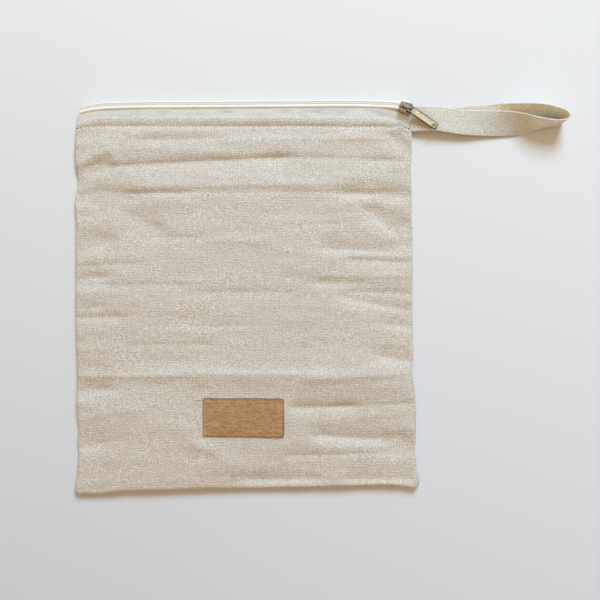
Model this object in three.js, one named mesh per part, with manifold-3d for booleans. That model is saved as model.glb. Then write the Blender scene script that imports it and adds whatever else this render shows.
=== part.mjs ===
// A zipped cloth pouch for wet nappies, lying on its back with its wrist loop to the right.
// Millimetres, +X right, +Y towards the zip, +Z up; the origin is under the pouch's middle.
import * as THREE from 'three';
import { mergeVertices } from 'three/addons/utils/BufferGeometryUtils.js';
import Module from 'manifold-3d';

const wasm = await Module();
wasm.setup();

// Pouch
const pouchWidth = 254; // side seam to side seam
const pouchHeight = 291; // folded upper edge of the zip to the bottom seam
const clothWall = 1.2; // muslin with its waterproof backing
const pieceGap = 0.3; // air between two pieces that touch
const rimRise = 1; // rise of the back panel's inner face to the seam
const seamRun = 3.4; // width of the rolled edge beside a seam
const crownHeight = 4.4; // rise of the front from the rolled edge to its middle
const crownRun = 28; // how fast that rise comes, inwards from a seam
const lipPuff = 0.5; // swell of the cloth between its folded edge and the topstitch
const stitchSetback = 7.3; // folded edge of the cloth to the topstitch
const edgeWander = 4; // how far the seams stray from straight lines
const creaseDepth = 2; // a full crease of the front cloth
const creaseWidth = 10; // the reach of a full crease to one side
const cornerRound = 3.4; // radius of the two bottom corners

// Zip
const coilWidth = 5.7; // both halves of the coil
const coilHeight = 2;
const tapeWall = 1;
const tapeReach = 20.4; // front tape, from the pouch's upper edge down under the cloth
const zipShow = 12.1; // pouch's upper edge to the folded edge of the front cloth
const backZipShow = 5.5; // the same behind, where less of the tape shows
const mouthDip = 10; // a full bend of the mouth's lines down into a side seam
const zipEndRun = 14; // from a side seam, where the zip's lines bend most
const liftRun = 14; // over which the zip rises into the slider
const sliderLength = 10;
const sliderWidth = 8.7;
const sliderPlate = 1.1;
const sliderTurn = -18; // degrees, how the slider points down into the corner
const sliderInset = 5.7; // right side seam to the slider's middle
const postWidth = 1.4; // post that parts the two halves of the coil
const postLength = 2;
const bridgeWidth = 1.3;
const bridgeWall = 1;
const bridgeSetback = 1.4; // slider's tail to the foot of its bridge
const barSetback = 2.8; // slider's nose to the pull's head bar
const barSlack = 0.6; // air under the pull's head bar

// Pull
const pullLength = 25.4; // from the head bar's axis to the rounded end
const pullWidth = 5.4;
const pullThick = 1.4;
const pullTurn = -33; // degrees, how the pull lies over the strap
const headBar = 1.5; // diameter of the bar that turns under the bridge
const pullSlotLength = 4.6;
const pullSlotWidth = 3.4;
const pullHole = 3.6;
const pullRecess = 0.3; // depth of the sunk middle of the pull
const pullRim = 0.8; // width of the rail round that middle

// Wrist strap
const strapWidth = 19;
const strapThick = 1.2;
const strapReach = 113.7; // from the side seam to the loop's far end
const strapSetback = 13.6; // pouch's upper edge to the middle of the strap

// Leather patch
const patchWidth = 60.5;
const patchHeight = 28.5;
const patchWall = 1.2;
const patchRise = 53.6; // bottom seam to the patch's middle
const patchCorner = 1.6;
const patchCalm = 10; // how far round the patch the creases die out

// Faces along each curve
const zipMiddleFaces = 22;
const zipEndFaces = 3;
const tapeBendFaces = 6;
const strapRootFaces = 8;
const strapRouteFaces = 48;
const patchUpFaces = 6;
const patchAcrossFaces = 10;

// Levels of the layers, from the table up
const rearTapeZ = clothWall + pieceGap;
const frontTapeZ = rearTapeZ + tapeWall + pieceGap;
const chainZ = frontTapeZ + tapeWall + pieceGap;
const backRimZ = clothWall + rimRise;
const frontRimZ = backRimZ + pieceGap;
const sliderLift = sliderPlate + pieceGap;
const topY = pouchHeight / 2;
const bottomY = -pouchHeight / 2;
const leftX = -pouchWidth / 2;
const rightX = pouchWidth / 2;

const rad = THREE.MathUtils.degToRad;
const { clamp, lerp, smoothstep } = THREE.MathUtils;

// A table's rows as objects, one property for each named column
function table(columns, rows) {
  return rows.map((row) => Object.fromEntries(columns.map((name, i) => [name, row[i]])));
}

// One column of a table, read on a smooth curve between its rows
function lookUp(rows, key, column, at) {
  const last = rows.length - 1;
  if (at <= rows[0][key]) {
    return rows[0][column];
  }
  if (at >= rows[last][key]) {
    return rows[last][column];
  }
  const i = rows.findIndex((row) => row[key] > at) - 1;
  const slope = (j) => {
    const before = rows[Math.max(j - 1, 0)];
    const after = rows[Math.min(j + 1, last)];
    return (after[column] - before[column]) / (after[key] - before[key]);
  };
  const span = rows[i + 1][key] - rows[i][key];
  const t = (at - rows[i][key]) / span;
  const fromStart = (1 + 2 * t) * (1 - t) ** 2 * rows[i][column] + t * (1 - t) ** 2 * span * slope(i);
  const fromEnd = (3 - 2 * t) * t ** 2 * rows[i + 1][column] - (1 - t) * t ** 2 * span * slope(i + 1);
  return fromStart + fromEnd;
}

// Side seams: outward stray as a share of edgeWander, down the pouch from its upper edge
const sideRows = table(['down', 'left', 'right'], [
  [0.0, -1.0, -0.3],
  [0.026, -0.98, -0.25],
  [0.05, -0.25, -0.12],
  [0.09, 0.1, -0.1],
  [0.14, 0.22, -0.12],
  [0.17, 0.05, -0.35],
  [0.205, -0.45, -0.22],
  [0.23, -0.35, -0.17],
  [0.26, 0.2, -0.13],
  [0.3, 0.02, -0.08],
  [0.36, 0.02, 0.05],
  [0.59, 0.02, 0.05],
  [0.66, -0.15, 0.2],
  [0.7, -0.22, -0.02],
  [0.735, -0.26, 0.38],
  [0.8, -0.12, 0.67],
  [0.85, -0.57, 0.67],
  [0.877, -0.35, 0.65],
  [0.905, -0.57, 0.45],
  [0.93, -0.45, 0.68],
  [0.955, -0.35, 0.92],
  [0.98, -0.1, 1.35],
  [1.0, 0.18, 1.05],
]);

// Bottom seam: outward stray as a share of edgeWander, across the pouch from the left
const bottomRows = table(['across', 'drop'], [
  [0.0, 1.45],
  [0.074, 0.95],
  [0.134, 0.57],
  [0.223, 0.37],
  [0.312, 0.27],
  [0.4, 0.1],
  [0.58, -0.1],
  [0.73, -0.28],
  [0.85, -0.47],
  [0.906, -0.57],
  [0.965, -0.37],
  [1.0, 0.27],
]);

// Lines of the mouth: how far the zip's fold, its coil and the cloth's folded edge bend down, as
// shares of mouthDip, across the pouch from the left
const mouthRows = table(['across', 'fold', 'coil', 'cloth'], [
  [0.0, 0.6, 0.6, 0.75],
  [0.016, 0.45, 0.45, 0.48],
  [0.045, 0.3, 0.28, 0.17],
  [0.075, 0.2, 0.18, 0.05],
  [0.104, 0.14, 0.12, 0.01],
  [0.223, 0.08, 0.06, 0.0],
  [0.371, 0.05, 0.04, 0.0],
  [0.668, -0.02, -0.02, 0.0],
  [0.816, -0.04, -0.04, 0.05],
  [0.906, 0.01, 0.02, 0.08],
  [0.935, 0.0, 0.08, 0.2],
  [0.965, -0.02, 0.23, 0.28],
  [0.985, -0.03, 0.4, 0.6],
  [1.0, 0.15, 0.52, 0.72],
]);

// Creases of the front cloth, each a valley between two places given as shares across and down the
// pouch. Depth is a share of creaseDepth, below zero a ridge; above and below are the reaches of its
// two sides, towards the zip and towards the bottom, as shares of creaseWidth
const creases = table(['across1', 'down1', 'across2', 'down2', 'depth', 'above', 'below'], [
  // the long crease under the mouth, from the pocket at the left seam to the right
  [0.07, 0.171, 0.79, 0.145, 0.8, 0.35, 0.95],
  [0.01, 0.222, 0.09, 0.174, 1.1, 1.3, 0.35],
  [0.22, 0.225, 0.8, 0.217, -0.3, 0.8, 0.4],
  [0.22, 0.103, 0.4, 0.1, 0.3, 0.6, 0.5],
  [0.42, 0.103, 0.93, 0.098, -0.25, 0.4, 0.4],
  [0.17, 0.24, 0.99, 0.238, 0.25, 0.3, 0.3],
  // left side, from the mouth to the bottom
  [0.0, 0.26, 0.14, 0.257, 0.9, 0.8, 0.4],
  [0.12, 0.266, 0.22, 0.32, 0.4, 0.9, 1.2],
  [0.0, 0.38, 0.1, 0.37, 0.7, 1.2, 0.7],
  [0.0, 0.467, 0.06, 0.462, 0.5, 0.7, 0.4],
  [0.0, 0.54, 0.06, 0.535, 0.45, 0.7, 0.4],
  [0.0, 0.56, 0.11, 0.558, 0.3, 0.3, 0.4],
  [0.2, 0.674, 0.33, 0.672, 0.25, 1.0, 0.6],
  [0.01, 0.713, 0.29, 0.71, -0.35, 0.35, 0.35],
  [0.0, 0.77, 0.06, 0.762, 0.55, 0.8, 0.4],
  [0.0, 0.9, 0.05, 0.893, 0.6, 0.9, 0.5],
  // middle, above the patch and at the bottom
  [0.44, 0.718, 0.64, 0.717, -0.4, 0.9, 0.4],
  [0.52, 0.988, 0.68, 0.986, 0.4, 0.5, 0.5],
  // right side, from the mouth to the bottom
  [0.91, 0.108, 1.0, 0.145, 0.9, 1.0, 0.35],
  [0.82, 0.245, 1.0, 0.243, 0.8, 0.6, 0.5],
  [0.9, 0.297, 1.0, 0.356, 1.1, 1.4, 0.5],
  [0.78, 0.385, 1.0, 0.39, 0.55, 0.5, 0.4],
  [0.84, 0.413, 1.0, 0.418, 0.5, 0.4, 0.6],
  [0.84, 0.495, 1.0, 0.5, 0.5, 0.7, 0.35],
  [0.8, 0.537, 1.0, 0.55, 0.5, 0.4, 0.5],
  [0.94, 0.58, 1.0, 0.586, 0.5, 0.7, 0.5],
  [0.9, 0.668, 1.0, 0.676, 0.8, 1.0, 0.5],
  [0.72, 0.717, 1.0, 0.712, -0.45, 1.0, 0.35],
  [0.8, 0.725, 1.0, 0.722, 0.35, 0.3, 0.4],
  [0.63, 0.792, 1.01, 0.781, 0.5, 0.35, 0.5],
  [0.76, 0.875, 1.01, 0.88, 0.75, 0.7, 0.4],
  [0.67, 0.916, 1.01, 0.908, 0.5, 0.4, 0.6],
  [0.85, 0.991, 1.01, 0.983, 0.5, 0.5, 0.4],
]);

const acrossAt = (x) => clamp((x - leftX) / pouchWidth, 0, 1);
const downAt = (y) => clamp((topY - y) / pouchHeight, 0, 1);
const leftEdge = (y) => leftX - edgeWander * lookUp(sideRows, 'down', 'left', downAt(y));
const rightEdge = (y) => rightX + edgeWander * lookUp(sideRows, 'down', 'right', downAt(y));
const bottomEdge = (x) => bottomY - edgeWander * lookUp(bottomRows, 'across', 'drop', acrossAt(x));
const mouthLine = (x, column) => mouthDip * lookUp(mouthRows, 'across', column, acrossAt(x));
const foldEdge = (x) => topY - mouthLine(x, 'fold');
const coilLine = (x) => topY - coilWidth / 2 - pieceGap / 2 - mouthLine(x, 'coil');
const clothEdge = (x) => topY - zipShow - mouthLine(x, 'cloth');
const backClothEdge = (x) => topY - backZipShow - mouthLine(x, 'fold');

// Closed body between two grids of points with the same rows and columns: an outer one, seen with
// its rows running away from the viewer and its columns to the right, and an inner one behind it
function shellBody(outer, inner) {
  const rowCount = outer.length;
  const columnCount = outer[0].length;
  const points = [...outer.flat(), ...inner.flat()];
  const innerStart = rowCount * columnCount;
  const at = (row, column) => row * columnCount + column;
  const index = [];
  const quad = (a, b, c, d) => index.push(a, b, c, a, c, d);
  for (let row = 0; row < rowCount - 1; row += 1) {
    for (let column = 0; column < columnCount - 1; column += 1) {
      const corners = [at(row, column), at(row, column + 1), at(row + 1, column + 1), at(row + 1, column)];
      quad(...corners);
      quad(...corners.map((corner) => corner + innerStart).reverse());
    }
  }
  const rim = [];
  for (let column = 0; column < columnCount - 1; column += 1) {
    rim.push(at(0, column));
  }
  for (let row = 0; row < rowCount - 1; row += 1) {
    rim.push(at(row, columnCount - 1));
  }
  for (let column = columnCount - 1; column > 0; column -= 1) {
    rim.push(at(rowCount - 1, column));
  }
  for (let row = rowCount - 1; row > 0; row -= 1) {
    rim.push(at(row, 0));
  }
  rim.forEach((here, i) => {
    const next = rim[(i + 1) % rim.length];
    quad(next, here, here + innerStart, next + innerStart);
  });
  const geometry = new THREE.BufferGeometry();
  geometry.setAttribute('position', new THREE.Float32BufferAttribute(points.flatMap((p) => [p.x, p.y, p.z]), 3));
  geometry.setIndex(index);
  geometry.computeVertexNormals();
  return geometry;
}

// Evenly spaced shares between 0 and 1, both ends included
const shares = (count) => Array.from({ length: count + 1 }, (_, i) => i / count);

// Places across a panel: rolled edges by quarter-circle steps, then even columns between them
const rollSteps = [0, 0.13, 0.5, 1];
function acrossStops(run, count) {
  const left = rollSteps.map((step) => ({ side: 'low', reach: step * run, step }));
  const middle = shares(count).slice(1, -1).map((share) => ({ side: 'middle', share, step: 1 }));
  const right = [...rollSteps].reverse().map((step) => ({ side: 'high', reach: step * run, step }));
  return [...left, ...middle, ...right];
}

// Place of a stop between two edges; inset is how far an inner face starts behind the outer one
function placeStop(stop, low, high, run, inset) {
  if (stop.side === 'middle') {
    return lerp(low + run, high - run, stop.share);
  }
  const reach = stop.reach < run ? inset + (stop.reach * (run - inset)) / run : stop.reach;
  return stop.side === 'low' ? low + reach : high - reach;
}

// Height of a rolled edge as a share, a quarter of an ellipse from its seam inwards
const roll = (step) => Math.sqrt(1 - (1 - clamp(step, 0, 1)) ** 2);

// Inset of a round bottom corner at a height over the bottom seam
function cornerInset(rise) {
  const toCentre = cornerRound - clamp(rise, 0, cornerRound);
  return cornerRound - Math.sqrt(cornerRound ** 2 - toCentre ** 2);
}

const patchY = bottomY + patchRise;

// Share of the creases that is left near the patch, none under it
function awayFromPatch(x, y) {
  const besideX = Math.max(Math.abs(x) - patchWidth / 2, 0);
  const besideY = Math.max(Math.abs(y - patchY) - patchHeight / 2, 0);
  return smoothstep(Math.hypot(besideX, besideY), pieceGap, patchCalm);
}

// Sum of all creases at a place on the front
function creaseHeight(x, y) {
  let height = 0;
  for (const crease of creases) {
    const start = new THREE.Vector2(crease.across1 * pouchWidth + leftX, topY - crease.down1 * pouchHeight);
    const end = new THREE.Vector2(crease.across2 * pouchWidth + leftX, topY - crease.down2 * pouchHeight);
    const along = end.clone().sub(start);
    const length = along.length();
    along.normalize();
    const toPlace = new THREE.Vector2(x, y).sub(start);
    const travelled = toPlace.dot(along);
    const below = along.y * toPlace.x - along.x * toPlace.y;
    const reach = creaseWidth * (below > 0 ? crease.below : crease.above);
    const beyond = Math.max(-travelled, travelled - length, 0);
    const fade = Math.exp(-((below / reach) ** 2) - (beyond / creaseWidth) ** 2);
    height -= creaseDepth * crease.depth * fade;
  }
  return height;
}

// Rise of the front over its rolled edges: crown, mouth and creases
function frontLift(x, y) {
  const fromSide = Math.max(Math.min(x - leftEdge(y), rightEdge(y) - x), 0);
  const fromBottom = Math.max(y - bottomEdge(x), 0);
  const fromMouth = clothEdge(x) - y;
  const rise = (distance) => 1 - Math.exp(-Math.max(distance, 0) / crownRun);
  const crown = crownHeight * rise(fromSide) * rise(fromBottom) * rise(fromMouth - stitchSetback);
  const inLip = clamp(fromMouth / stitchSetback, 0, 1);
  const puff = lipPuff * Math.sin(Math.PI * inLip) * roll(fromSide / (2 * seamRun));
  const held = roll(fromSide / creaseWidth) * roll(fromBottom / creaseWidth);
  const free = held * smoothstep(fromMouth, stitchSetback, stitchSetback + creaseWidth);
  return crown + puff + creaseHeight(x, y) * free * awayFromPatch(x, y);
}

const frontInnerZ = (x, y) => chainZ + frontLift(x, y);
const frontOuterZ = (x, y) => frontInnerZ(x, y) + clothWall;

// Grid of a panel's points: heightAt gets the place and how far it is up the rolled edges
function panelGrid(topAt, mouthRun, counts, inset, heightAt) {
  const columns = acrossStops(seamRun, counts.across);
  const mouthSteps = counts.mouth.map((reach) => ({ side: 'high', reach, step: reach / mouthRun }));
  const lastMouth = counts.mouth[counts.mouth.length - 1];
  const rows = [
    ...rollSteps.map((step) => ({ side: 'low', reach: step * seamRun, step })),
    ...shares(counts.down).slice(1, -1).map((share) => ({ side: 'middle', share, step: 1 })),
    ...mouthSteps.reverse(),
  ];
  const rowPlace = (stop, x) => {
    const low = bottomEdge(x);
    const high = topAt(x);
    if (stop.side === 'middle') {
      return lerp(low + seamRun, high - lastMouth, stop.share);
    }
    return placeStop(stop, low, high, stop.side === 'low' ? seamRun : mouthRun, inset);
  };
  return rows.map((rowStop) => {
    const leftPlace = rowPlace(rowStop, leftX);
    const rightPlace = rowPlace(rowStop, rightX);
    const round = rowStop.side === 'low' ? cornerInset(rowStop.reach) : 0;
    const low = leftEdge(leftPlace) + round;
    const high = rightEdge(rightPlace) - round;
    return columns.map((columnStop) => {
      const x = placeStop(columnStop, low, high, seamRun, inset);
      const y = rowPlace(rowStop, x);
      const edge = roll(columnStop.step) * (rowStop.side === 'low' ? roll(rowStop.step) : 1);
      const mouth = rowStop.side === 'high' ? roll(rowStop.step) : 1;
      return new THREE.Vector3(x, y, heightAt(x, y, edge, mouth));
    });
  });
}

// Front cloth: rolled up from its seams, crowned and creased, lying on the zip at its folded edge
function frontPanel() {
  const lipRun = clothWall + pieceGap;
  const counts = {
    across: 16,
    down: 52,
    mouth: [0, lipRun / 3, lipRun, stitchSetback / 2, stitchSetback, stitchSetback + lipRun],
  };
  const rise = chainZ - frontRimZ;
  const liftAt = (x, y, edge) => frontLift(x, y) * edge;
  const outer = panelGrid(clothEdge, lipRun, counts, 0, (x, y, edge, mouth) => (
    frontRimZ + edge * (rise + clothWall * mouth) + liftAt(x, y, edge)
  ));
  const inner = panelGrid(clothEdge, lipRun, counts, clothWall, (x, y, edge) => (
    frontRimZ + edge * rise + liftAt(x, y, edge)
  ));
  return shellBody(outer, inner);
}

// Back cloth: flat on the table, its edges rolled up to the seam, open at its folded upper edge
function backPanel() {
  const counts = { across: 6, down: 10, mouth: [0, clothWall, stitchSetback] };
  const rise = backRimZ - clothWall;
  const outer = panelGrid(backClothEdge, clothWall, counts, 0, (x, y, edge) => backRimZ * (1 - edge));
  const inner = panelGrid(backClothEdge, clothWall, counts, clothWall, (x, y, edge) => (
    clothWall + rise * (1 - edge)
  ));
  inner.forEach((row) => row.forEach((point) => {
    point.y = Math.min(point.y, backClothEdge(point.x));
  }));
  return shellBody(inner, outer);
}

// Slider's middle, on the coil's line near the right side seam
const sliderX = rightX - sliderInset;
const sliderY = coilLine(sliderX);

// Lift of the tapes and the coil where they run through the slider
const sliderReach = Math.hypot(sliderLength, sliderWidth) / 2;
function chainLift(x) {
  return sliderLift * (1 - smoothstep(Math.abs(x - sliderX), sliderReach, sliderReach + liftRun));
}

// Places along the zip between two ends, the same for the tapes and the coil away from the ends
const zipMiddle = shares(zipMiddleFaces)
  .map((share) => lerp(leftX + zipEndRun, rightX - zipEndRun, share));
function zipStops(ends) {
  const end = shares(zipEndFaces);
  const first = end.slice(0, -1).map((share) => lerp(ends.left, zipMiddle[0], share));
  const last = end.slice(1).map((share) => lerp(zipMiddle[zipMiddle.length - 1], ends.right, share));
  return [...first, ...zipMiddle, ...last];
}

// Half of the gap between the two tapes, wider where the slider's post parts them
function tapeSplit(x) {
  const parted = smoothstep(x, sliderX - postWidth, sliderX + postWidth);
  return pieceGap / 2 + (postWidth / 2 + pieceGap) * parted;
}

// How far the zip's end stays inside a side seam: clear of the panels' rolled edges where it lies
// under the cloth or behind the front tape, and out to the seam where it shows
const tapeEndInset = seamRun + pieceGap;
function endInset(y, z, seamX) {
  const openFrom = clothEdge(seamX) + 2 * pieceGap;
  const open = smoothstep(y, openFrom, openFrom + seamRun) * smoothstep(z, rearTapeZ + tapeWall, frontTapeZ);
  return lerp(tapeEndInset, pieceGap, open);
}

// Both ends of a line of the zip, whose place y and level z change along the pouch
function zipEnds(y, z) {
  const leftY = y(leftX);
  const rightY = y(rightX);
  return {
    left: leftEdge(leftY) + endInset(leftY, z(leftX), leftX),
    right: rightEdge(rightY) - endInset(rightY, z(rightX), rightX),
  };
}

// Body of a tape from the lines across its section, each with its place, level and outward normal
function tapeBody(lines) {
  const face = (side) => lines.map((line) => zipStops(zipEnds(line.y, line.z)).map((x) => {
    const out = (side * tapeWall) / 2;
    return new THREE.Vector3(x, line.y(x) + out * line.normalY, line.z(x) + out * line.normalZ);
  }));
  return shellBody(face(1), face(-1));
}

// Front tape: from under the front cloth up to the coil's middle line
function zipTapeFront() {
  const level = frontTapeZ + tapeWall / 2;
  const flat = () => level;
  const lifted = (x) => level + chainLift(x);
  const line = (y, z) => ({ y, z, normalY: 0, normalZ: 1 });
  const inner = (x) => coilLine(x) - tapeSplit(x);
  return tapeBody([
    line(() => topY - tapeReach, flat),
    line((x) => clothEdge(x) + pieceGap, flat),
    line((x) => inner(x) - sliderWidth / 2 - pieceGap, lifted),
    line(inner, lifted),
  ]);
}

// Back tape: from the coil's middle line over the pouch's upper edge and down inside the back cloth
function zipTapeBack() {
  const rear = rearTapeZ + tapeWall / 2;
  const level = (x) => frontTapeZ + tapeWall / 2 + chainLift(x);
  const radius = (x) => (level(x) - rear) / 2;
  const centre = (x) => foldEdge(x) - radius(x) - tapeWall / 2;
  const bend = shares(tapeBendFaces).map((share) => {
    const angle = Math.PI * (0.5 - share);
    return {
      y: (x) => centre(x) + radius(x) * Math.cos(angle),
      z: (x) => rear + radius(x) * (1 + Math.sin(angle)),
      normalY: Math.cos(angle),
      normalZ: Math.sin(angle),
    };
  });
  return tapeBody([
    { y: (x) => coilLine(x) + tapeSplit(x), z: level, normalY: 0, normalZ: 1 },
    ...bend,
    { y: () => topY - tapeReach, z: () => rear, normalY: 0, normalZ: -1 },
  ]);
}

// Section of half a coil: places from the middle line out, as shares of its half width and height
const coilSection = table(['out', 'height'], [
  [0.0, 0.88],
  [0.35, 1.0],
  [0.75, 0.87],
  [1.0, 0.35],
]);

// One half of the coil; side is 1 behind the middle line, towards the zip's fold, and -1 in front
function coilHalf(side) {
  const halfWidth = coilWidth / 2 - pieceGap / 2;
  const ends = { left: zipEnds(coilLine, () => chainZ).left, right: sliderX - postWidth };
  const grid = (heightShare) => {
    const rows = coilSection.map((row) => zipStops(ends).map((x) => {
      const y = coilLine(x) + side * (pieceGap / 2 + halfWidth * row.out);
      const base = chainZ + chainLift(x);
      return new THREE.Vector3(x, y, base + coilHeight * row.height * heightShare);
    }));
    return side > 0 ? rows : rows.reverse();
  };
  return shellBody(grid(1), grid(0));
}

// Solid for cutting and joining from a closed geometry
function solidOf(geometry) {
  const bare = geometry.clone();
  bare.deleteAttribute('normal');
  bare.deleteAttribute('uv');
  const merged = mergeVertices(bare, 1e-4);
  const vertProperties = new Float32Array(merged.attributes.position.array);
  const triVerts = new Uint32Array(merged.index.array);
  return new wasm.Manifold(new wasm.Mesh({ numProp: 3, vertProperties, triVerts }));
}

// Geometry of a solid after cutting and joining
function geometryOf(solid) {
  const mesh = solid.getMesh();
  const geometry = new THREE.BufferGeometry();
  geometry.setAttribute('position', new THREE.Float32BufferAttribute(mesh.vertProperties, 3));
  geometry.setIndex(new THREE.Uint32BufferAttribute(mesh.triVerts, 1));
  geometry.computeVertexNormals();
  return geometry;
}

// Flat plate of an outline drawn in plan, between two heights
function plateOf(shape, low, high, curveSegments = 6) {
  const geometry = new THREE.ExtrudeGeometry(shape, { depth: high - low, bevelEnabled: false, curveSegments });
  geometry.translate(0, 0, low);
  return solidOf(geometry);
}

// Box of three extents, centred in plan, with its underside at a height
function boxOf(length, width, height, x, low) {
  const geometry = new THREE.BoxGeometry(length, width, height);
  geometry.translate(x, 0, low + height / 2);
  return solidOf(geometry);
}

// Levels of the slider over the table, and the bridge's room for the pull's head bar
const sliderBaseZ = frontTapeZ + sliderLift - pieceGap - sliderPlate;
const sliderTopZ = chainZ + sliderLift + coilHeight + pieceGap;
const barZ = sliderTopZ + sliderPlate + barSlack + headBar / 2;
const barRoom = headBar / 2 + pieceGap;
const barPlace = sliderLength / 2 - barSetback;
const barTurn = rad(sliderTurn - pullTurn);
const footRoom = (barRoom + (bridgeWidth / 2) * Math.sin(barTurn)) / Math.cos(barTurn);

// Outline of the slider's plates as shares of their half length and half width, from tail to nose
const sliderSides = table(['along', 'side'], [
  [-1.0, 0.66],
  [-0.94, 0.8],
  [-0.6, 0.87],
  [-0.1, 0.89],
  [0.2, 0.97],
  [0.45, 1.0],
  [0.75, 0.93],
  [0.93, 0.66],
  [1.0, 0.35],
]);

// Plan of the slider's plates
function sliderPlan() {
  const side = (sign) => sliderSides.map((row) => (
    new THREE.Vector2((row.along * sliderLength) / 2, (sign * row.side * sliderWidth) / 2)
  ));
  return new THREE.Shape([...side(-1), ...side(1).reverse()]);
}

// Side view of the bridge over the slider, an arch with the head bar's room under it
function bridgePlan() {
  const low = sliderTopZ + sliderPlate / 2;
  const floor = sliderTopZ + sliderPlate;
  const roofZ = barZ + barRoom;
  const tail = bridgeSetback - sliderLength / 2;
  const nose = barPlace + footRoom + bridgeWall;
  const shape = new THREE.Shape();
  shape.moveTo(tail, low);
  shape.lineTo(nose, low);
  shape.lineTo(nose, roofZ);
  shape.quadraticCurveTo(nose, roofZ + bridgeWall, nose - bridgeWall, roofZ + bridgeWall);
  shape.lineTo(tail + 2 * bridgeWall, roofZ + bridgeWall);
  shape.quadraticCurveTo(tail, roofZ + bridgeWall, tail, low);
  const room = new THREE.Path();
  room.moveTo(nose - bridgeWall, floor);
  room.lineTo(tail + 1.5 * bridgeWall, floor);
  room.quadraticCurveTo(tail + 1.5 * bridgeWall, roofZ, tail + 2.5 * bridgeWall, roofZ);
  room.lineTo(nose - bridgeWall, roofZ);
  shape.holes.push(room);
  return shape;
}

// Slider: two plates on a post, with a channel for the coil, slots for the tapes and a bridge
function zipSlider() {
  const body = plateOf(sliderPlan(), sliderBaseZ, sliderTopZ + sliderPlate);
  const slotLow = frontTapeZ + sliderLift - pieceGap;
  const slotHigh = chainZ + sliderLift;
  const slot = boxOf(2 * sliderLength, 2 * sliderWidth, slotHigh - slotLow, 0, slotLow);
  const channelWidth = coilWidth + 3 * pieceGap;
  const channel = boxOf(2 * sliderLength, channelWidth, sliderTopZ - slotLow, 0, slotLow);
  const postX = sliderLength / 2 - pieceGap - postLength / 2;
  const post = boxOf(postLength, postWidth, sliderTopZ - sliderBaseZ, postX, sliderBaseZ);
  const bridgeGeometry = new THREE.ExtrudeGeometry(bridgePlan(), {
    depth: bridgeWidth,
    bevelEnabled: false,
    curveSegments: 6,
  });
  bridgeGeometry.translate(0, 0, -bridgeWidth / 2);
  bridgeGeometry.rotateX(Math.PI / 2);
  const hollow = body.subtract(slot).subtract(channel);
  return geometryOf(hollow.add(post).add(solidOf(bridgeGeometry)));
}

// Outline of the pull in plan: a rounded strip from its head bar to its far end
function stripPlan(start, end, halfWidth, round) {
  const shape = new THREE.Shape();
  shape.moveTo(start, -halfWidth + round);
  shape.absarc(start + round, -halfWidth + round, round, Math.PI, 1.5 * Math.PI, false);
  shape.lineTo(end - halfWidth, -halfWidth);
  shape.absarc(end - halfWidth, 0, halfWidth, -Math.PI / 2, Math.PI / 2, false);
  shape.lineTo(start + round, halfWidth);
  shape.absarc(start + round, halfWidth - round, round, Math.PI / 2, Math.PI, false);
  return shape;
}

// Pull: head bar, slot round the bridge, sunk middle between two rails and a round hole
function zipPull() {
  const half = pullWidth / 2;
  const slotEnd = headBar / 2 + pullSlotLength;
  const plan = stripPlan(0, pullLength, half, pieceGap);
  const hole = new THREE.Path();
  hole.absarc(pullLength - half, 0, pullHole / 2, 0, 2 * Math.PI, true);
  plan.holes.push(hole);
  const strip = plateOf(plan, -pullThick / 2, pullThick / 2, 8);
  const slot = plateOf(stripPlan(-headBar, slotEnd, pullSlotWidth / 2, pieceGap), -pullThick, pullThick);
  const recessEnd = pullLength - half - pullHole / 2;
  const recessPlan = stripPlan(slotEnd + pullRim, recessEnd, half - pullRim, pullRim / 2);
  const upperRecess = plateOf(recessPlan, pullThick / 2 - pullRecess, pullThick);
  const lowerRecess = plateOf(recessPlan, -pullThick, pullRecess - pullThick / 2);
  const bar = new THREE.CylinderGeometry(headBar / 2, headBar / 2, pullWidth, 12);
  const cut = strip.subtract(slot).subtract(upperRecess).subtract(lowerRecess);
  return geometryOf(cut.add(solidOf(bar)));
}

// Route of the wrist strap's middle, out along its upper layer, round the loop's far end and back
// along its lower one. Reach is a share of strapReach and side a share of strapWidth; lean is how the
// band tips up towards the zip, in degrees; raise is how many layers lie under its lower edge
const strapRows = table(['reach', 'side', 'lean', 'raise'], [
  [0.0, 0.0, 0, 2.07],
  [0.08, 0.0, -4, 2.5],
  [0.18, -0.02, -7, 2.45],
  [0.33, -0.14, -4, 2.1],
  [0.53, -0.18, 12, 0.9],
  [0.68, -0.22, 38, 0.2],
  [0.81, -0.27, 70, 0.2],
  [0.92, -0.25, 87, 0.2],
  [0.985, -0.17, 90, 0.2],
  [1.0, -0.03, 90, 0.2],
  [0.98, 0.13, 90, 0.2],
  [0.92, 0.25, 88, 0.2],
  [0.85, 0.3, 80, 0.2],
  [0.735, 0.24, 62, 0.2],
  [0.63, 0.13, 34, 0.2],
  [0.53, 0.08, 13, 0.1],
  [0.355, 0.03, 3, 0.25],
  [0.18, -0.05, 0, 0.6],
  [0.08, 0.0, 0, 0.95],
  [0.0, 0.0, 0, 1.07],
]);
const strapMiddleY = topY - strapSetback;
const rootEdges = shares(strapRootFaces)
  .map((share) => rightEdge(strapMiddleY + (share - 0.5) * strapWidth));
const strapRootX = Math.max(...rootEdges) + pieceGap;
const layerPitch = strapThick + pieceGap;

// Height of the strap's middle where it leans, and how far its edges are above and below that
const halfStand = (lean) => (strapWidth / 2) * Math.abs(Math.sin(rad(lean)));
function middleHeight(lean, raise) {
  return raise * layerPitch + (strapThick / 2) * Math.cos(rad(lean)) + halfStand(lean);
}

// Middle of the strap at a row of the route
function strapPlace(row) {
  return new THREE.Vector3(
    strapRootX + row.reach * strapReach,
    strapMiddleY + row.side * strapWidth,
    middleHeight(row.lean, row.raise),
  );
}

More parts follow.
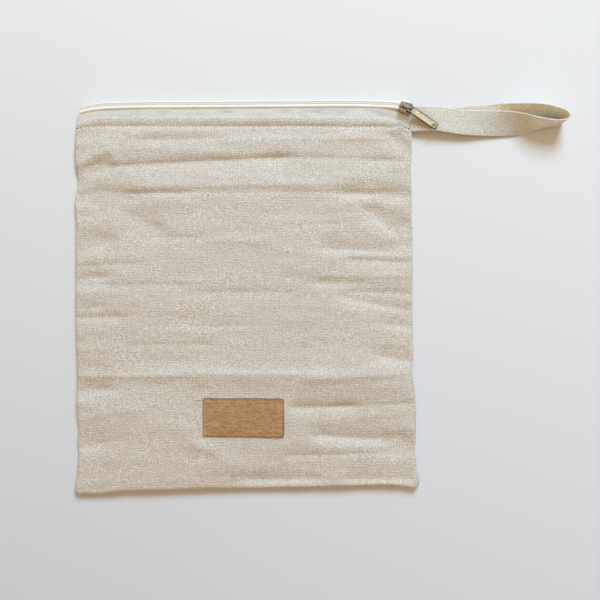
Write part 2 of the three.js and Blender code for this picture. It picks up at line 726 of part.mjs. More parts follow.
// Top of the strap's upper layer at a place along it
function strapTopAt(x) {
  const reach = (x - strapRootX) / strapReach;
  const upperLayer = strapRows.slice(0, strapRows.findIndex((row) => row.reach === 1));
  const lean = lookUp(upperLayer, 'reach', 'lean', reach);
  const raise = lookUp(upperLayer, 'reach', 'raise', reach);
  return middleHeight(lean, raise) + halfStand(lean) + strapThick / 2;
}

// Strap: a flat band swept along its route, thin at its two folded edges
function wristStrap() {
  const route = new THREE.CatmullRomCurve3(strapRows.map(strapPlace), false, 'centripetal');
  const leans = new THREE.CatmullRomCurve3(strapRows.map((row) => new THREE.Vector3(rad(row.lean), 0, 0)));
  const acrossBand = [-0.5, -0.46, 0.46, 0.5];
  const halfThick = [0.25, 0.5, 0.5, 0.25];
  const face = (side) => shares(strapRouteFaces).map((share) => {
    const middle = route.getPoint(share);
    const travel = route.getTangent(share);
    const lean = leans.getPoint(share).x;
    const upright = new THREE.Vector3(0, Math.cos(lean), Math.sin(lean));
    upright.addScaledVector(travel, -upright.dot(travel)).normalize();
    const normal = travel.clone().cross(upright);
    return acrossBand.map((place, i) => middle.clone()
      .addScaledVector(upright, place * strapWidth)
      .addScaledVector(normal, side * halfThick[i] * strapThick));
  });
  return shellBody(face(-1), face(1));
}

// Leather patch: a flat sheet with round corners that follows the front cloth under it
function leatherPatch() {
  const grid = (rise) => shares(patchUpFaces).map((up) => shares(patchAcrossFaces).map((share) => {
    const y = patchY + (up - 0.5) * patchHeight;
    const fromEnd = patchHeight * Math.min(up, 1 - up);
    const toCentre = patchCorner - clamp(fromEnd, 0, patchCorner);
    const round = patchCorner - Math.sqrt(patchCorner ** 2 - toCentre ** 2);
    const x = (share - 0.5) * (patchWidth - 2 * round);
    return new THREE.Vector3(x, y, frontOuterZ(x, y) + pieceGap + rise);
  }));
  return shellBody(grid(patchWall), grid(0));
}

const muslin = new THREE.MeshStandardMaterial({ color: 0xccc3b6, roughness: 0.95, metalness: 0 });
const tapeWhite = new THREE.MeshStandardMaterial({ color: 0xdedcd2, roughness: 0.85, metalness: 0 });
const coilWhite = new THREE.MeshStandardMaterial({ color: 0xedebe0, roughness: 0.5, metalness: 0 });
const nickel = new THREE.MeshStandardMaterial({ color: 0x9c8c78, roughness: 0.3, metalness: 1 });
const tanLeather = new THREE.MeshStandardMaterial({ color: 0xab855d, roughness: 0.65, metalness: 0 });

const wetBag = new THREE.Group();

// A named piece of the pouch in its own place
function addPiece(name, geometry, material) {
  const piece = new THREE.Mesh(geometry, material);
  piece.name = name;
  wetBag.add(piece);
  return piece;
}

addPiece('front_panel', frontPanel(), muslin);
addPiece('back_panel', backPanel(), muslin);
addPiece('zip_tape_front', zipTapeFront(), tapeWhite);
addPiece('zip_tape_back', zipTapeBack(), tapeWhite);
addPiece('zip_coil_front', coilHalf(-1), coilWhite);
addPiece('zip_coil_back', coilHalf(1), coilWhite);
addPiece('wrist_strap', wristStrap(), muslin);
addPiece('leather_patch', leatherPatch(), tanLeather);

const slider = addPiece('zip_slider', zipSlider(), nickel);
slider.position.set(sliderX, sliderY, 0);
slider.rotation.z = rad(sliderTurn);

// The pull hangs on its head bar under the bridge and rests with its far end over the strap
const pull = addPiece('zip_pull', zipPull(), nickel);
const headX = sliderX + barPlace * Math.cos(rad(sliderTurn));
const headY = sliderY + barPlace * Math.sin(rad(sliderTurn));
const tipX = headX + pullLength * Math.cos(rad(pullTurn));
const pullRestZ = strapTopAt(tipX) + pieceGap + pullThick / 2;
pull.position.set(headX, headY, barZ);
pull.rotation.set(0, Math.asin((barZ - pullRestZ) / pullLength), rad(pullTurn), 'ZYX');

export default wetBag;
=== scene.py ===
# %% [markdown]
# # A zipped cloth pouch with a wrist loop
# The pouch lies on its back on a pale table and is seen from straight above. It is unbleached
# muslin sewn to a white coil zip, with a bare leather patch and a strap that ends in a standing
# loop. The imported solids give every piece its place. The soft pieces are made again here from the
# same sizes, with finer folds, seams and threads, and each one then stands for its solid.

# %% Load the frame
import math

import bmesh
import bpy
import numpy as np
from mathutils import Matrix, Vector


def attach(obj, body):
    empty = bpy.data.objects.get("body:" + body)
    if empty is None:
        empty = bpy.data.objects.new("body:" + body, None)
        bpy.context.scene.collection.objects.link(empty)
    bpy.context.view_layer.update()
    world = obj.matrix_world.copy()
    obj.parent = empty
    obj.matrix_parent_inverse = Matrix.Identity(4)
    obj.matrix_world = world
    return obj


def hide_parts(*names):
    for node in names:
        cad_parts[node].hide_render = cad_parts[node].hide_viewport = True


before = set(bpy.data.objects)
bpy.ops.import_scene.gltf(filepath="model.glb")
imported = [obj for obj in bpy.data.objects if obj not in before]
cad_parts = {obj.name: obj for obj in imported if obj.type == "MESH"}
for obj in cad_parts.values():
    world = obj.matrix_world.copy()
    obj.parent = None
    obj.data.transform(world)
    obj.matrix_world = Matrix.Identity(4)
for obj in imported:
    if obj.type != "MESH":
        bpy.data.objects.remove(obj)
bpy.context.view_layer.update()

# %% [markdown]
# ## Sizes
# Every length below is in millimetres. Most are the ones that the solids were drawn with, so a new
# piece fits its place without any adjusting. Meshes are turned into metres when they are made.

# %% Sizes of the pouch, its zip, strap and patch
MM = 0.001
POUCH_WIDTH = 254.0
POUCH_HEIGHT = 291.0
CLOTH_WALL = 1.2
PIECE_GAP = 0.3
RIM_RISE = 1.0
SEAM_RUN = 3.4
CROWN_HEIGHT = 4.4
CROWN_RUN = 28.0
LIP_PUFF = 0.5
BOTTOM_PUFF = 1.1  # how far the turned-in bottom hems hold the front up
STITCH_SETBACK = 7.3
STITCH_PITCH = 2.9
STITCH_START = -POUCH_WIDTH / 2 + 4.5
NEEDLE_HOLE = 1.0
EDGE_WANDER = 4.0
CREASE_DEPTH = 2.0
CREASE_WIDTH = 10.0
CORNER_ROUND = 3.4
COIL_WIDTH = 5.7
COIL_HEIGHT = 2.0
TAPE_WALL = 1.0
TAPE_REACH = 20.4
ZIP_SHOW = 12.1
BACK_ZIP_SHOW = 5.5
MOUTH_DIP = 10.0
LIFT_RUN = 14.0
SLIDER_LENGTH = 10.0
SLIDER_WIDTH = 8.7
SLIDER_PLATE = 1.1
SLIDER_INSET = 5.7
POST_WIDTH = 1.4
STRAP_WIDTH = 19.0
STRAP_THICK = 1.2
STRAP_REACH = 113.7
STRAP_SETBACK = 13.6
PATCH_WIDTH = 60.5
PATCH_HEIGHT = 28.5
PATCH_WALL = 1.2
PATCH_RISE = 53.6
PATCH_CORNER = 1.6
PATCH_CALM = 10.0

REAR_TAPE_Z = CLOTH_WALL + PIECE_GAP
FRONT_TAPE_Z = REAR_TAPE_Z + TAPE_WALL + PIECE_GAP
CHAIN_Z = FRONT_TAPE_Z + TAPE_WALL + PIECE_GAP
BACK_RIM_Z = CLOTH_WALL + RIM_RISE
FRONT_RIM_Z = BACK_RIM_Z + PIECE_GAP
SLIDER_LIFT = SLIDER_PLATE + PIECE_GAP
TOP_Y = POUCH_HEIGHT / 2
BOTTOM_Y = -POUCH_HEIGHT / 2
LEFT_X = -POUCH_WIDTH / 2
RIGHT_X = POUCH_WIDTH / 2
PATCH_Y = BOTTOM_Y + PATCH_RISE
print("levels of the zip, mm:", REAR_TAPE_Z, FRONT_TAPE_Z, round(CHAIN_Z, 2))

# %% [markdown]
# ## The camera and the light
# The photograph is taken from straight above, so the camera looks down at the table from 60 cm.
# A soft lamp beyond the zip rakes over the cloth and draws its creases. Its light is a little cool,
# and the room's own light is warm, which is why every shadow on the white table turns tan. A pale
# panel overhead adds little light, but it is what the nickel mirrors.

# %% Camera
CAMERA_HEIGHT = 0.6
CAMERA_PLACE = (42.15 * MM, -4.55 * MM)
camera_data = bpy.data.cameras.new("camera")
camera_data.lens = 47.5
camera_data.sensor_width = 36.0
camera_data.clip_start = 0.01
camera = bpy.data.objects.new("camera", camera_data)
camera.location = (*CAMERA_PLACE, CAMERA_HEIGHT)
bpy.context.scene.collection.objects.link(camera)
bpy.context.scene.camera = camera
bpy.context.scene.view_settings.view_transform = "Standard"
print("camera height above the table, m:", camera.location.z)


# %% Lamps and room light
def soft_lamp(name, place, aim, size, watts, colour):
    """A square area lamp at a place, turned towards a point."""
    lamp = bpy.data.lights.new(name, "AREA")
    lamp.size = size
    lamp.energy = watts
    lamp.color = colour
    holder = bpy.data.objects.new(name, lamp)
    holder.location = place
    holder.rotation_euler = (Vector(aim) - Vector(place)).to_track_quat("-Z", "Y").to_euler()
    bpy.context.scene.collection.objects.link(holder)
    return holder


key_lamp = soft_lamp(
    "key_lamp", place=(0.465, 1.875, 1.74), aim=(0.0, 0.0, 0.0),
    size=1.05, watts=72.5, colour=(0.553, 0.757, 0.965),
)
ceiling = soft_lamp(
    "ceiling", place=(0.55, 0.6, 2.5), aim=(0.1, 0.1, 0.0),
    size=1.6, watts=5.0, colour=(1.0, 0.95, 0.86),
)

room = bpy.data.worlds.new("room")
room.use_nodes = True
room_light = room.node_tree.nodes["Background"]
room_light.inputs["Color"].default_value = (1.0, 0.72, 0.42, 1.0)
room_light.inputs["Strength"].default_value = 0.50
bpy.context.scene.world = room
print("lamps:", key_lamp.name, ceiling.name, "and the room")

# %% [markdown]
# ## Lines that the whole pouch follows
# The seams of a sewn pouch are never straight. Short tables say how far each edge strays, and a
# smooth curve is drawn through their rows, so neighbouring pieces bend together.


# %% Smooth curves through short tables
def smooth_curve(rows, column, at):
    """One column of a table, on a smooth curve; the table's first column holds the places."""
    table = np.array(rows, float)
    keys, values = table[:, 0], table[:, column]
    order = np.arange(len(keys))
    before, after = np.maximum(order - 1, 0), np.minimum(order + 1, len(keys) - 1)
    slopes = (values[after] - values[before]) / (keys[after] - keys[before])
    at = np.clip(np.asarray(at, float), keys[0], keys[-1])
    i = np.clip(np.searchsorted(keys, at, side="right") - 1, 0, len(keys) - 2)
    span = keys[i + 1] - keys[i]
    t = (at - keys[i]) / span
    start = (1 + 2 * t) * (1 - t) ** 2 * values[i] + t * (1 - t) ** 2 * span * slopes[i]
    end = (3 - 2 * t) * t**2 * values[i + 1] - (1 - t) * t**2 * span * slopes[i + 1]
    return start + end


def smoothstep(at, low, high):
    """0 below low, 1 above high and a soft step between them."""
    t = np.clip((np.asarray(at, float) - low) / (high - low), 0, 1)
    return t * t * (3 - 2 * t)


# %% Stray of the seams and of the mouth's lines
# down the pouch; left and right stray, outwards, as shares of EDGE_WANDER
SIDE_ROWS = [
    (0.0, -1.0, -0.3),
    (0.026, -0.98, -0.25),
    (0.05, -0.25, -0.12),
    (0.09, 0.1, -0.1),
    (0.14, 0.22, -0.12),
    (0.17, 0.05, -0.35),
    (0.205, -0.45, -0.22),
    (0.23, -0.35, -0.17),
    (0.26, 0.2, -0.13),
    (0.3, 0.02, -0.08),
    (0.36, 0.02, 0.05),
    (0.59, 0.02, 0.05),
    (0.66, -0.15, 0.2),
    (0.7, -0.22, -0.02),
    (0.735, -0.26, 0.38),
    (0.8, -0.12, 0.67),
    (0.85, -0.57, 0.67),
    (0.877, -0.35, 0.65),
    (0.905, -0.57, 0.45),
    (0.93, -0.45, 0.68),
    (0.955, -0.35, 0.92),
    (0.98, -0.1, 1.35),
    (1.0, 0.18, 1.05),
]
# across the pouch; drop of the bottom seam, as a share of EDGE_WANDER
BOTTOM_ROWS = [
    (0.0, 1.5),
    (0.03, 1.42),
    (0.074, 1.35),
    (0.134, 1.0),
    (0.223, 0.82),
    (0.312, 0.66),
    (0.4, 0.45),
    (0.58, 0.25),
    (0.73, 0.1),
    (0.85, -0.12),
    (0.906, -0.22),
    (0.965, -0.05),
    (1.0, 0.3),
]
# across the pouch; dips of the zip's fold, its coil and the cloth's edge, as shares of MOUTH_DIP
MOUTH_ROWS = [
    (0.0, 0.6, 0.6, 0.75),
    (0.016, 0.45, 0.45, 0.48),
    (0.045, 0.3, 0.28, 0.17),
    (0.075, 0.2, 0.18, 0.05),
    (0.104, 0.14, 0.12, 0.01),
    (0.223, 0.08, 0.06, 0.0),
    (0.371, 0.05, 0.04, 0.0),
    (0.668, -0.02, -0.02, 0.0),
    (0.816, -0.04, -0.04, 0.05),
    (0.906, 0.01, 0.02, 0.08),
    (0.935, 0.0, 0.08, 0.2),
    (0.965, -0.02, 0.23, 0.28),
    (0.985, -0.03, 0.4, 0.6),
    (1.0, 0.15, 0.52, 0.72),
]
FOLD, COIL, CLOTH = 1, 2, 3


def across_share(x):
    return np.clip((np.asarray(x, float) - LEFT_X) / POUCH_WIDTH, 0, 1)


def down_share(y):
    return np.clip((TOP_Y - np.asarray(y, float)) / POUCH_HEIGHT, 0, 1)


def left_edge(y):
    return LEFT_X - EDGE_WANDER * smooth_curve(SIDE_ROWS, 1, down_share(y))


def right_edge(y):
    return RIGHT_X + EDGE_WANDER * smooth_curve(SIDE_ROWS, 2, down_share(y))


def bottom_edge(x):
    return BOTTOM_Y - EDGE_WANDER * smooth_curve(BOTTOM_ROWS, 1, across_share(x))


def mouth_dip(x, column):
    return MOUTH_DIP * smooth_curve(MOUTH_ROWS, column, across_share(x))


def fold_edge(x):
    return TOP_Y - mouth_dip(x, FOLD)


def coil_line(x):
    return TOP_Y - COIL_WIDTH / 2 - PIECE_GAP / 2 - mouth_dip(x, COIL)


def cloth_edge(x):
    return TOP_Y - ZIP_SHOW - mouth_dip(x, CLOTH)


def back_cloth_edge(x):
    return TOP_Y - BACK_ZIP_SHOW - mouth_dip(x, FOLD)


# across the pouch; how far the topstitch strays towards the mouth, in millimetres
STITCH_ROWS = [
    (0.0, 5.6),
    (0.016, 3.6),
    (0.045, 1.3),
    (0.09, 0.3),
    (0.2, 0.0),
    (0.85, 0.0),
    (0.92, 0.7),
    (0.955, 2.2),
    (0.985, 4.2),
    (1.0, 5.2),
]


def stitch_line(x):
    """The topstitch runs straight on where the cloth's edge turns down to the seams."""
    return cloth_edge(x) - STITCH_SETBACK + smooth_curve(STITCH_ROWS, 1, across_share(x))


print("cloth's folded edge at the middle, mm:", float(cloth_edge(0.0)))

# %% [markdown]
# ## Meshes from grids
# Most of these pieces are sheets. A sheet is easy to draw as a grid of points: one grid for its
# outer face, a coarser one for the face that nobody sees, and a rim of triangles between them. The
# piece is then closed, as real cloth is, without paying for fine faces on its hidden side.


# %% Closed sheets and swept tubes
def grid_quads(rows, columns, start=0):
    """Corners of a grid's faces, row by row."""
    index = np.arange(rows * columns).reshape(rows, columns) + start
    corners = [index[:-1, :-1], index[:-1, 1:], index[1:, 1:], index[1:, :-1]]
    return np.stack(corners, -1).reshape(-1, 4)


def rim_loop(rows, columns, start=0):
    """Points round a grid, in order."""
    index = np.arange(rows * columns).reshape(rows, columns) + start
    return np.concatenate([index[0, :-1], index[:-1, -1], index[-1, :0:-1], index[:0:-1, 0]])


def closed_sheet(outer, inner, every):
    """Points and faces of a sheet whose inner grid has one point for every few of the outer one."""
    outer_rim = rim_loop(*outer.shape[:2])
    start = outer.shape[0] * outer.shape[1]
    inner_rim = rim_loop(*inner.shape[:2], start)
    faces = grid_quads(*outer.shape[:2]).tolist()
    faces += grid_quads(*inner.shape[:2], start)[:, ::-1].tolist()
    count = len(inner_rim)
    for i in range(count):
        here, following = int(inner_rim[i]), int(inner_rim[(i + 1) % count])
        steps = [int(outer_rim[(i * every + step) % len(outer_rim)]) for step in range(every + 1)]
        half = every // 2
        for step in range(every):
            faces.append([steps[step + 1], steps[step], here if step < half else following])
        faces.append([steps[half], here, following])
    points = np.concatenate([outer.reshape(-1, 3), inner.reshape(-1, 3)])
    return points, faces


def swept_tube(rings):
    """Points and faces of a closed tube from its rings of points."""
    count, around = rings.shape[:2]
    index = np.arange(count * around).reshape(count, around)
    turned = np.roll(index, -1, axis=1)
    quads = np.stack([index[:-1], turned[:-1], turned[1:], index[1:]], -1).reshape(-1, 4)
    faces = quads.tolist() + [index[0, ::-1].tolist(), index[-1].tolist()]
    return rings.reshape(-1, 3), faces


def many_tubes(rings):
    """Points and faces of many closed tubes; the array's first index is the tube."""
    tubes, stations, around = rings.shape[:3]
    one_faces = swept_tube(rings[0])[1]
    faces = []
    for tube in range(tubes):
        shift = tube * stations * around
        faces += [[corner + shift for corner in face] for face in one_faces]
    return rings.reshape(-1, 3), faces


# %% Turning points into a piece of the pouch
def make_piece(name, points, faces, material, cloth_place=None):
    """A mesh object from points in millimetres; cloth_place gives their places on flat cloth.

    Only the cut rims of sheets have triangles. They stay flat, so they don't bend the shading of
    the rolled edges beside them.
    """
    mesh = bpy.data.meshes.new(name)
    mesh.from_pydata((np.asarray(points, float) * MM).tolist(), [], faces)
    if cloth_place is not None:
        layer = mesh.uv_layers.new(name="cloth")
        corners = np.zeros(len(mesh.loops), int)
        mesh.loops.foreach_get("vertex_index", corners)
        cloth_uv = np.asarray(cloth_place)[corners] * MM
        layer.uv.foreach_set("vector", cloth_uv.astype(np.float32).ravel())
    work = bmesh.new()
    work.from_mesh(mesh)
    bmesh.ops.recalc_face_normals(work, faces=work.faces)
    work.to_mesh(mesh)
    work.free()
    mesh.polygons.foreach_set("use_smooth", [len(face) != 3 for face in faces])
    mesh.materials.append(material)
    piece = bpy.data.objects.new(name, mesh)
    bpy.context.scene.collection.objects.link(piece)
    triangles = sum(len(face) - 2 for face in faces)
    print(f"{name}: {triangles} triangles")
    return piece


def point_values(piece, label, values):
    """One number for each point of a piece, for its material to read."""
    layer = piece.data.attributes.new(label, "FLOAT", "POINT")
    layer.data.foreach_set("value", np.asarray(values, np.float32))


# %% [markdown]
# ## Patterns shared by several materials
# A pattern that more than one finish uses is a node group: it is drawn once and then placed with
# other values. These groups put out masks and heights, and each material decides what they mean.
# Lengths in groups and materials are in metres, as in the finished meshes.


# %% Helpers for shader nodes
def socket_in(tree, socket, value):
    """Joins an output to a socket, or sets a plain value on it."""
    if isinstance(value, bpy.types.NodeSocket):
        tree.links.new(value, socket)
    elif value is not None:
        socket.default_value = value


def add_node(tree, kind, settings=None, **inputs):
    """A node with its settings and its inputs, named with underscores for spaces."""
    made = tree.nodes.new(kind)
    for name, value in (settings or {}).items():
        setattr(made, name, value)
    for name, value in inputs.items():
        socket_in(tree, made.inputs[name.replace("_", " ")], value)
    return made


def maths(tree, operation, *values):
    """A Math node's result."""
    made = tree.nodes.new("ShaderNodeMath")
    made.operation = operation
    for socket, value in zip(made.inputs, values):
        socket_in(tree, socket, value)
    return made.outputs[0]


def mixed(tree, share, first, second):
    """A colour between two; a Mix node's colours are its inputs 6 and 7 and its output 2."""
    made = tree.nodes.new("ShaderNodeMix")
    made.data_type = "RGBA"
    socket_in(tree, made.inputs[0], share)
    socket_in(tree, made.inputs[6], first)
    socket_in(tree, made.inputs[7], second)
    return made.outputs[2]


def ranged(tree, value, low, high, to_low=0.0, to_high=1.0):
    """A value moved from one range to another and held inside it."""
    made = add_node(tree, "ShaderNodeMapRange")
    for socket, each in zip(made.inputs, (value, low, high, to_low, to_high)):
        socket_in(tree, socket, each)
    return made.outputs[0]


def noise(tree, place, scale, detail, roughness, dimensions="3D"):
    """A noise between 0 and 1."""
    made = add_node(
        tree, "ShaderNodeTexNoise", {"noise_dimensions": dimensions},
        Vector=place, Scale=scale, Detail=detail, Roughness=roughness,
    )
    return made.outputs[0]


def split(tree, place):
    """The x, y and z of a place."""
    return add_node(tree, "ShaderNodeSeparateXYZ", Vector=place).outputs


def arches(tree, value):
    """A row of arches, 0 at every whole number and 1 halfway between."""
    return maths(tree, "ABSOLUTE", maths(tree, "SINE", maths(tree, "MULTIPLY", value, math.pi)))


def far_away(tree, across, along):
    """The distance made by two distances at a right angle."""
    squares = [maths(tree, "POWER", maths(tree, "ABSOLUTE", part), 2.0) for part in (across, along)]
    return maths(tree, "SQRT", maths(tree, "ADD", *squares))


def attribute_of(tree, label):
    """A number that the mesh holds for each point."""
    return add_node(tree, "ShaderNodeAttribute", {"attribute_name": label}).outputs["Fac"]


def new_group(name, inputs, outputs):
    """An empty node group and its two ends; each input says its socket's kind and value."""
    group = bpy.data.node_groups.new(name, "ShaderNodeTree")
    for label, (kind, value) in inputs.items():
        made = group.interface.new_socket(name=label, in_out="INPUT", socket_type=kind)
        if value is not None:
            made.default_value = value
    for label in outputs:
        group.interface.new_socket(name=label, in_out="OUTPUT", socket_type="NodeSocketFloat")
    return group, group.nodes.new("NodeGroupInput"), group.nodes.new("NodeGroupOutput")


def place_group(tree, group, **inputs):
    """A group placed in a material with its own values."""
    made = tree.nodes.new("ShaderNodeGroup")
    made.node_tree = group
    for name, value in inputs.items():
        socket_in(tree, made.inputs[name.replace("_", " ")], value)
    return made


# %% [markdown]
# ### Woven threads
# Plain weave is a chequer of short thread lengths, one set seen lengthwise and the other crosswise.
# Hand-spun cotton also has thick and thin stretches, called slubs, that run along single threads.
# The group gives the height of the threads, a tone that follows the slubs both ways, and the
# grooves between the upright threads, which this cloth shows more than those between the others.

# %% Woven threads
weave, ends_in, ends_out = new_group(
    "woven_threads",
    {"Place": ("NodeSocketVector", None), "Pitch": ("NodeSocketFloat", 0.0006)},
    ["Height", "Slubs", "Grooves"],
)
scaled = add_node(
    weave, "ShaderNodeVectorMath", {"operation": "SCALE"},
    Vector=ends_in.outputs["Place"], Scale=maths(weave, "DIVIDE", 1.0, ends_in.outputs["Pitch"]),
)
thread_place = split(weave, scaled.outputs[0])
warp_side = arches(weave, thread_place[0])
weft_side = arches(weave, thread_place[1])
warp_number = maths(weave, "FLOOR", thread_place[0])
weft_number = maths(weave, "FLOOR", thread_place[1])
over = maths(weave, "PINGPONG", maths(weave, "ADD", warp_number, weft_number), 1.0)
over_side = maths(weave, "MULTIPLY", over, warp_side)
under_side = maths(weave, "MULTIPLY", maths(weave, "SUBTRACT", 1.0, over), weft_side)
thread_height = maths(weave, "ADD", over_side, under_side)


def slub_streaks(stretch):
    """Noise drawn out along one set of threads."""
    drawn = add_node(
        weave, "ShaderNodeVectorMath", {"operation": "MULTIPLY"}, Vector=scaled.outputs[0]
    )
    drawn.inputs[1].default_value = stretch
    return noise(weave, drawn.outputs[0], 1.0, 2.0, 0.6, "2D")


weft_slubs = maths(weave, "MULTIPLY", slub_streaks((0.17, 0.9, 1.0)), 0.8)
warp_slubs = slub_streaks((0.95, 0.11, 1.0))
slubs = ranged(weave, maths(weave, "ADD", weft_slubs, warp_slubs), 0.68, 1.12)
weave.links.new(maths(weave, "MULTIPLY", thread_height, slubs), ends_out.inputs["Height"])
weave.links.new(slubs, ends_out.inputs["Slubs"])
grooves = maths(weave, "POWER", maths(weave, "SUBTRACT", 1.0, warp_side), 1.5)
weave.links.new(grooves, ends_out.inputs["Grooves"])
print("group:", weave.name)

# %% [markdown]
# ### Soft mottling and flecks
# No real surface has one even colour. Large soft patches break it up, and unbleached cotton keeps
# tiny dark bits of seed husk between its threads.

# %% Mottling
mottle, ends_in, ends_out = new_group(
    "soft_mottle",
    {"Place": ("NodeSocketVector", None), "Size": ("NodeSocketFloat", 0.03)},
    ["Tone"],
)
patches_each_metre = maths(mottle, "DIVIDE", 1.0, ends_in.outputs["Size"])
mottle_noise = noise(mottle, ends_in.outputs["Place"], patches_each_metre, 3.0, 0.55)
mottle.links.new(ranged(mottle, mottle_noise, 0.3, 0.7), ends_out.inputs["Tone"])

# %% Husk flecks
flecks, ends_in, ends_out = new_group(
    "husk_flecks",
    {"Place": ("NodeSocketVector", None), "Spacing": ("NodeSocketFloat", 0.01)},
    ["Fleck"],
)
fleck_cells = add_node(
    flecks, "ShaderNodeTexVoronoi", {"voronoi_dimensions": "3D", "feature": "F1"},
    Vector=ends_in.outputs["Place"], Scale=maths(flecks, "DIVIDE", 1.0, ends_in.outputs["Spacing"]),
    Randomness=1.0,
)
fleck_random = add_node(flecks, "ShaderNodeSeparateColor", Color=fleck_cells.outputs["Color"])
fleck_radius = ranged(flecks, fleck_random.outputs[0], 0.25, 1.0, 0.0, 0.052)
fleck_mask = maths(flecks, "LESS_THAN", fleck_cells.outputs["Distance"], fleck_radius)
fleck_depth = ranged(flecks, fleck_random.outputs[1], 0.0, 1.0, 0.25, 1.0)
fleck_share = maths(flecks, "MULTIPLY", fleck_mask, fleck_depth)
flecks.links.new(fleck_share, ends_out.inputs["Fleck"])
print("groups:", mottle.name, flecks.name)


# %% [markdown]
# ## Materials
# Muslin is matt, so almost all of its look is colour: a greyed cream that turns warmer where the
# threads thin out. A little sheen stands for the fine hairs that catch light at a shallow angle.


# %% Material with its places
def new_material(name):
    """A material's tree, its shader, its flat-cloth place and its place on the object."""
    material = bpy.data.materials.new(name)
    material.use_nodes = True
    tree = material.node_tree
    shader = tree.nodes["Principled BSDF"]
    on_cloth = add_node(tree, "ShaderNodeUVMap", {"uv_map": "cloth"}).outputs[0]
    on_object = add_node(tree, "ShaderNodeTexCoord").outputs["Object"]
    return material, tree, shader, on_cloth, on_object


def set_bump(tree, shader, height, strength, depth):
    bump = add_node(tree, "ShaderNodeBump", Height=height, Strength=strength, Distance=depth)
    tree.links.new(bump.outputs[0], shader.inputs["Normal"])


# %% Muslin for the panels and the strap
HUSK_BROWN = (0.10, 0.06, 0.03, 1.0)
HUSK_SPACING = 0.0125
BLOTCH_SIZE = 0.0045
FUZZ_SCALE = 1050.0  # the finest hairs and gaps, about a millimetre apart


def muslin(name, light, dark, pitch, mottling):
    """Muslin from its two tones, its thread pitch and the size of its soft patches, in metres."""
    material, tree, shader, on_cloth, on_object = new_material(name)
    threads = place_group(tree, weave, Place=on_cloth, Pitch=pitch)
    wide_tone = place_group(tree, mottle, Place=on_object, Size=mottling).outputs["Tone"]
    fine_tone = place_group(tree, mottle, Place=on_object, Size=BLOTCH_SIZE).outputs["Tone"]
    husks = place_group(tree, flecks, Place=on_object, Spacing=HUSK_SPACING)
    fuzz = noise(tree, on_object, FUZZ_SCALE, 0.0, 0.5)
    dark_thread = (*dark, 1.0)
    deep = tuple(0.75 * part for part in dark) + (1.0,)
    bright = tuple(min(1.1 * part, 0.97) for part in light) + (1.0,)
    warm = (dark[0], 0.95 * dark[1], 0.93 * dark[2], 1.0)
    spun = mixed(tree, threads.outputs["Slubs"], dark_thread, (*light, 1.0))
    groove_share = maths(tree, "MULTIPLY", threads.outputs["Grooves"], 0.5)
    gap_share = ranged(tree, fuzz, 0.40, 0.70, 0.0, 0.7)
    hair_share = ranged(tree, fuzz, 0.30, 0.50, 0.65, 0.0)
    cloud_share = ranged(tree, fine_tone, 0.0, 1.0, 0.0, 0.4)
    worn_share = ranged(tree, wide_tone, 0.0, 1.0, 0.0, 0.38)
    colour = spun
    for share, tone in (
        (groove_share, deep), (gap_share, deep), (hair_share, bright), (cloud_share, warm),
        (worn_share, dark_thread), (husks.outputs["Fleck"], HUSK_BROWN),
    ):
        colour = mixed(tree, share, colour, tone)
    tree.links.new(colour, shader.inputs["Base Color"])
    shader.inputs["Roughness"].default_value = 0.92
    shader.inputs["Specular IOR Level"].default_value = 0.25
    shader.inputs["Sheen Weight"].default_value = 0.1
    shader.inputs["Sheen Roughness"].default_value = 0.5
    set_bump(tree, shader, threads.outputs["Height"], 0.8, 0.0004)
    return material


panel_cloth = muslin(
    "panel_muslin", light=(0.92, 0.853, 0.76), dark=(0.635, 0.575, 0.50),
    pitch=0.00122, mottling=0.035,
)
strap_cloth = muslin(
    "strap_muslin", light=(0.975, 0.895, 0.77), dark=(0.80, 0.70, 0.58),
    pitch=0.0011, mottling=0.014,
)

# painted shade: the needle's holes along the topstitch, between one stitch and the next, are not
# cut; their shade is painted in as dark brown dots
tree = panel_cloth.node_tree
shader = tree.nodes["Principled BSDF"]
HOLE_SHADE_BROWN = (0.10, 0.07, 0.045, 1.0)
on_panel = add_node(tree, "ShaderNodeTexCoord").outputs["Object"]
from_start = maths(tree, "SUBTRACT", split(tree, on_panel)[0], STITCH_START * MM)
along_row = maths(tree, "PINGPONG", from_start, STITCH_PITCH / 2 * MM)
from_hole = far_away(tree, attribute_of(tree, "from_stitch"), along_row)
hole_shade_mask = maths(tree, "LESS_THAN", from_hole, NEEDLE_HOLE / 2 * MM)
unpricked = shader.inputs["Base Color"].links[0].from_socket
with_hole_shade = mixed(tree, hole_shade_mask, unpricked, HOLE_SHADE_BROWN)
tree.links.new(with_hole_shade, shader.inputs["Base Color"])

# light passes through the strap's open weave and comes out warmer
strap_shader = strap_cloth.node_tree.nodes["Principled BSDF"]
strap_shader.inputs["Subsurface Weight"].default_value = 0.7
strap_shader.inputs["Subsurface Radius"].default_value = (1.0, 0.78, 0.55)
strap_shader.inputs["Subsurface Scale"].default_value = 0.005
print("materials:", panel_cloth.name, strap_cloth.name)

# %% [markdown]
# ### Zip tape
# Zip tape is polyester woven in a herringbone: fine diagonal ribs that change direction every
# two millimetres or so. It is whiter and a little glossier than the muslin. The half that lies open
# on the front has soft grey streaks, and the half bent over the upper edge is paler, so each has
# its own tones.

# %% Zip tape
RIB_PITCH = 0.0019
BAND_WIDTH = 0.0036


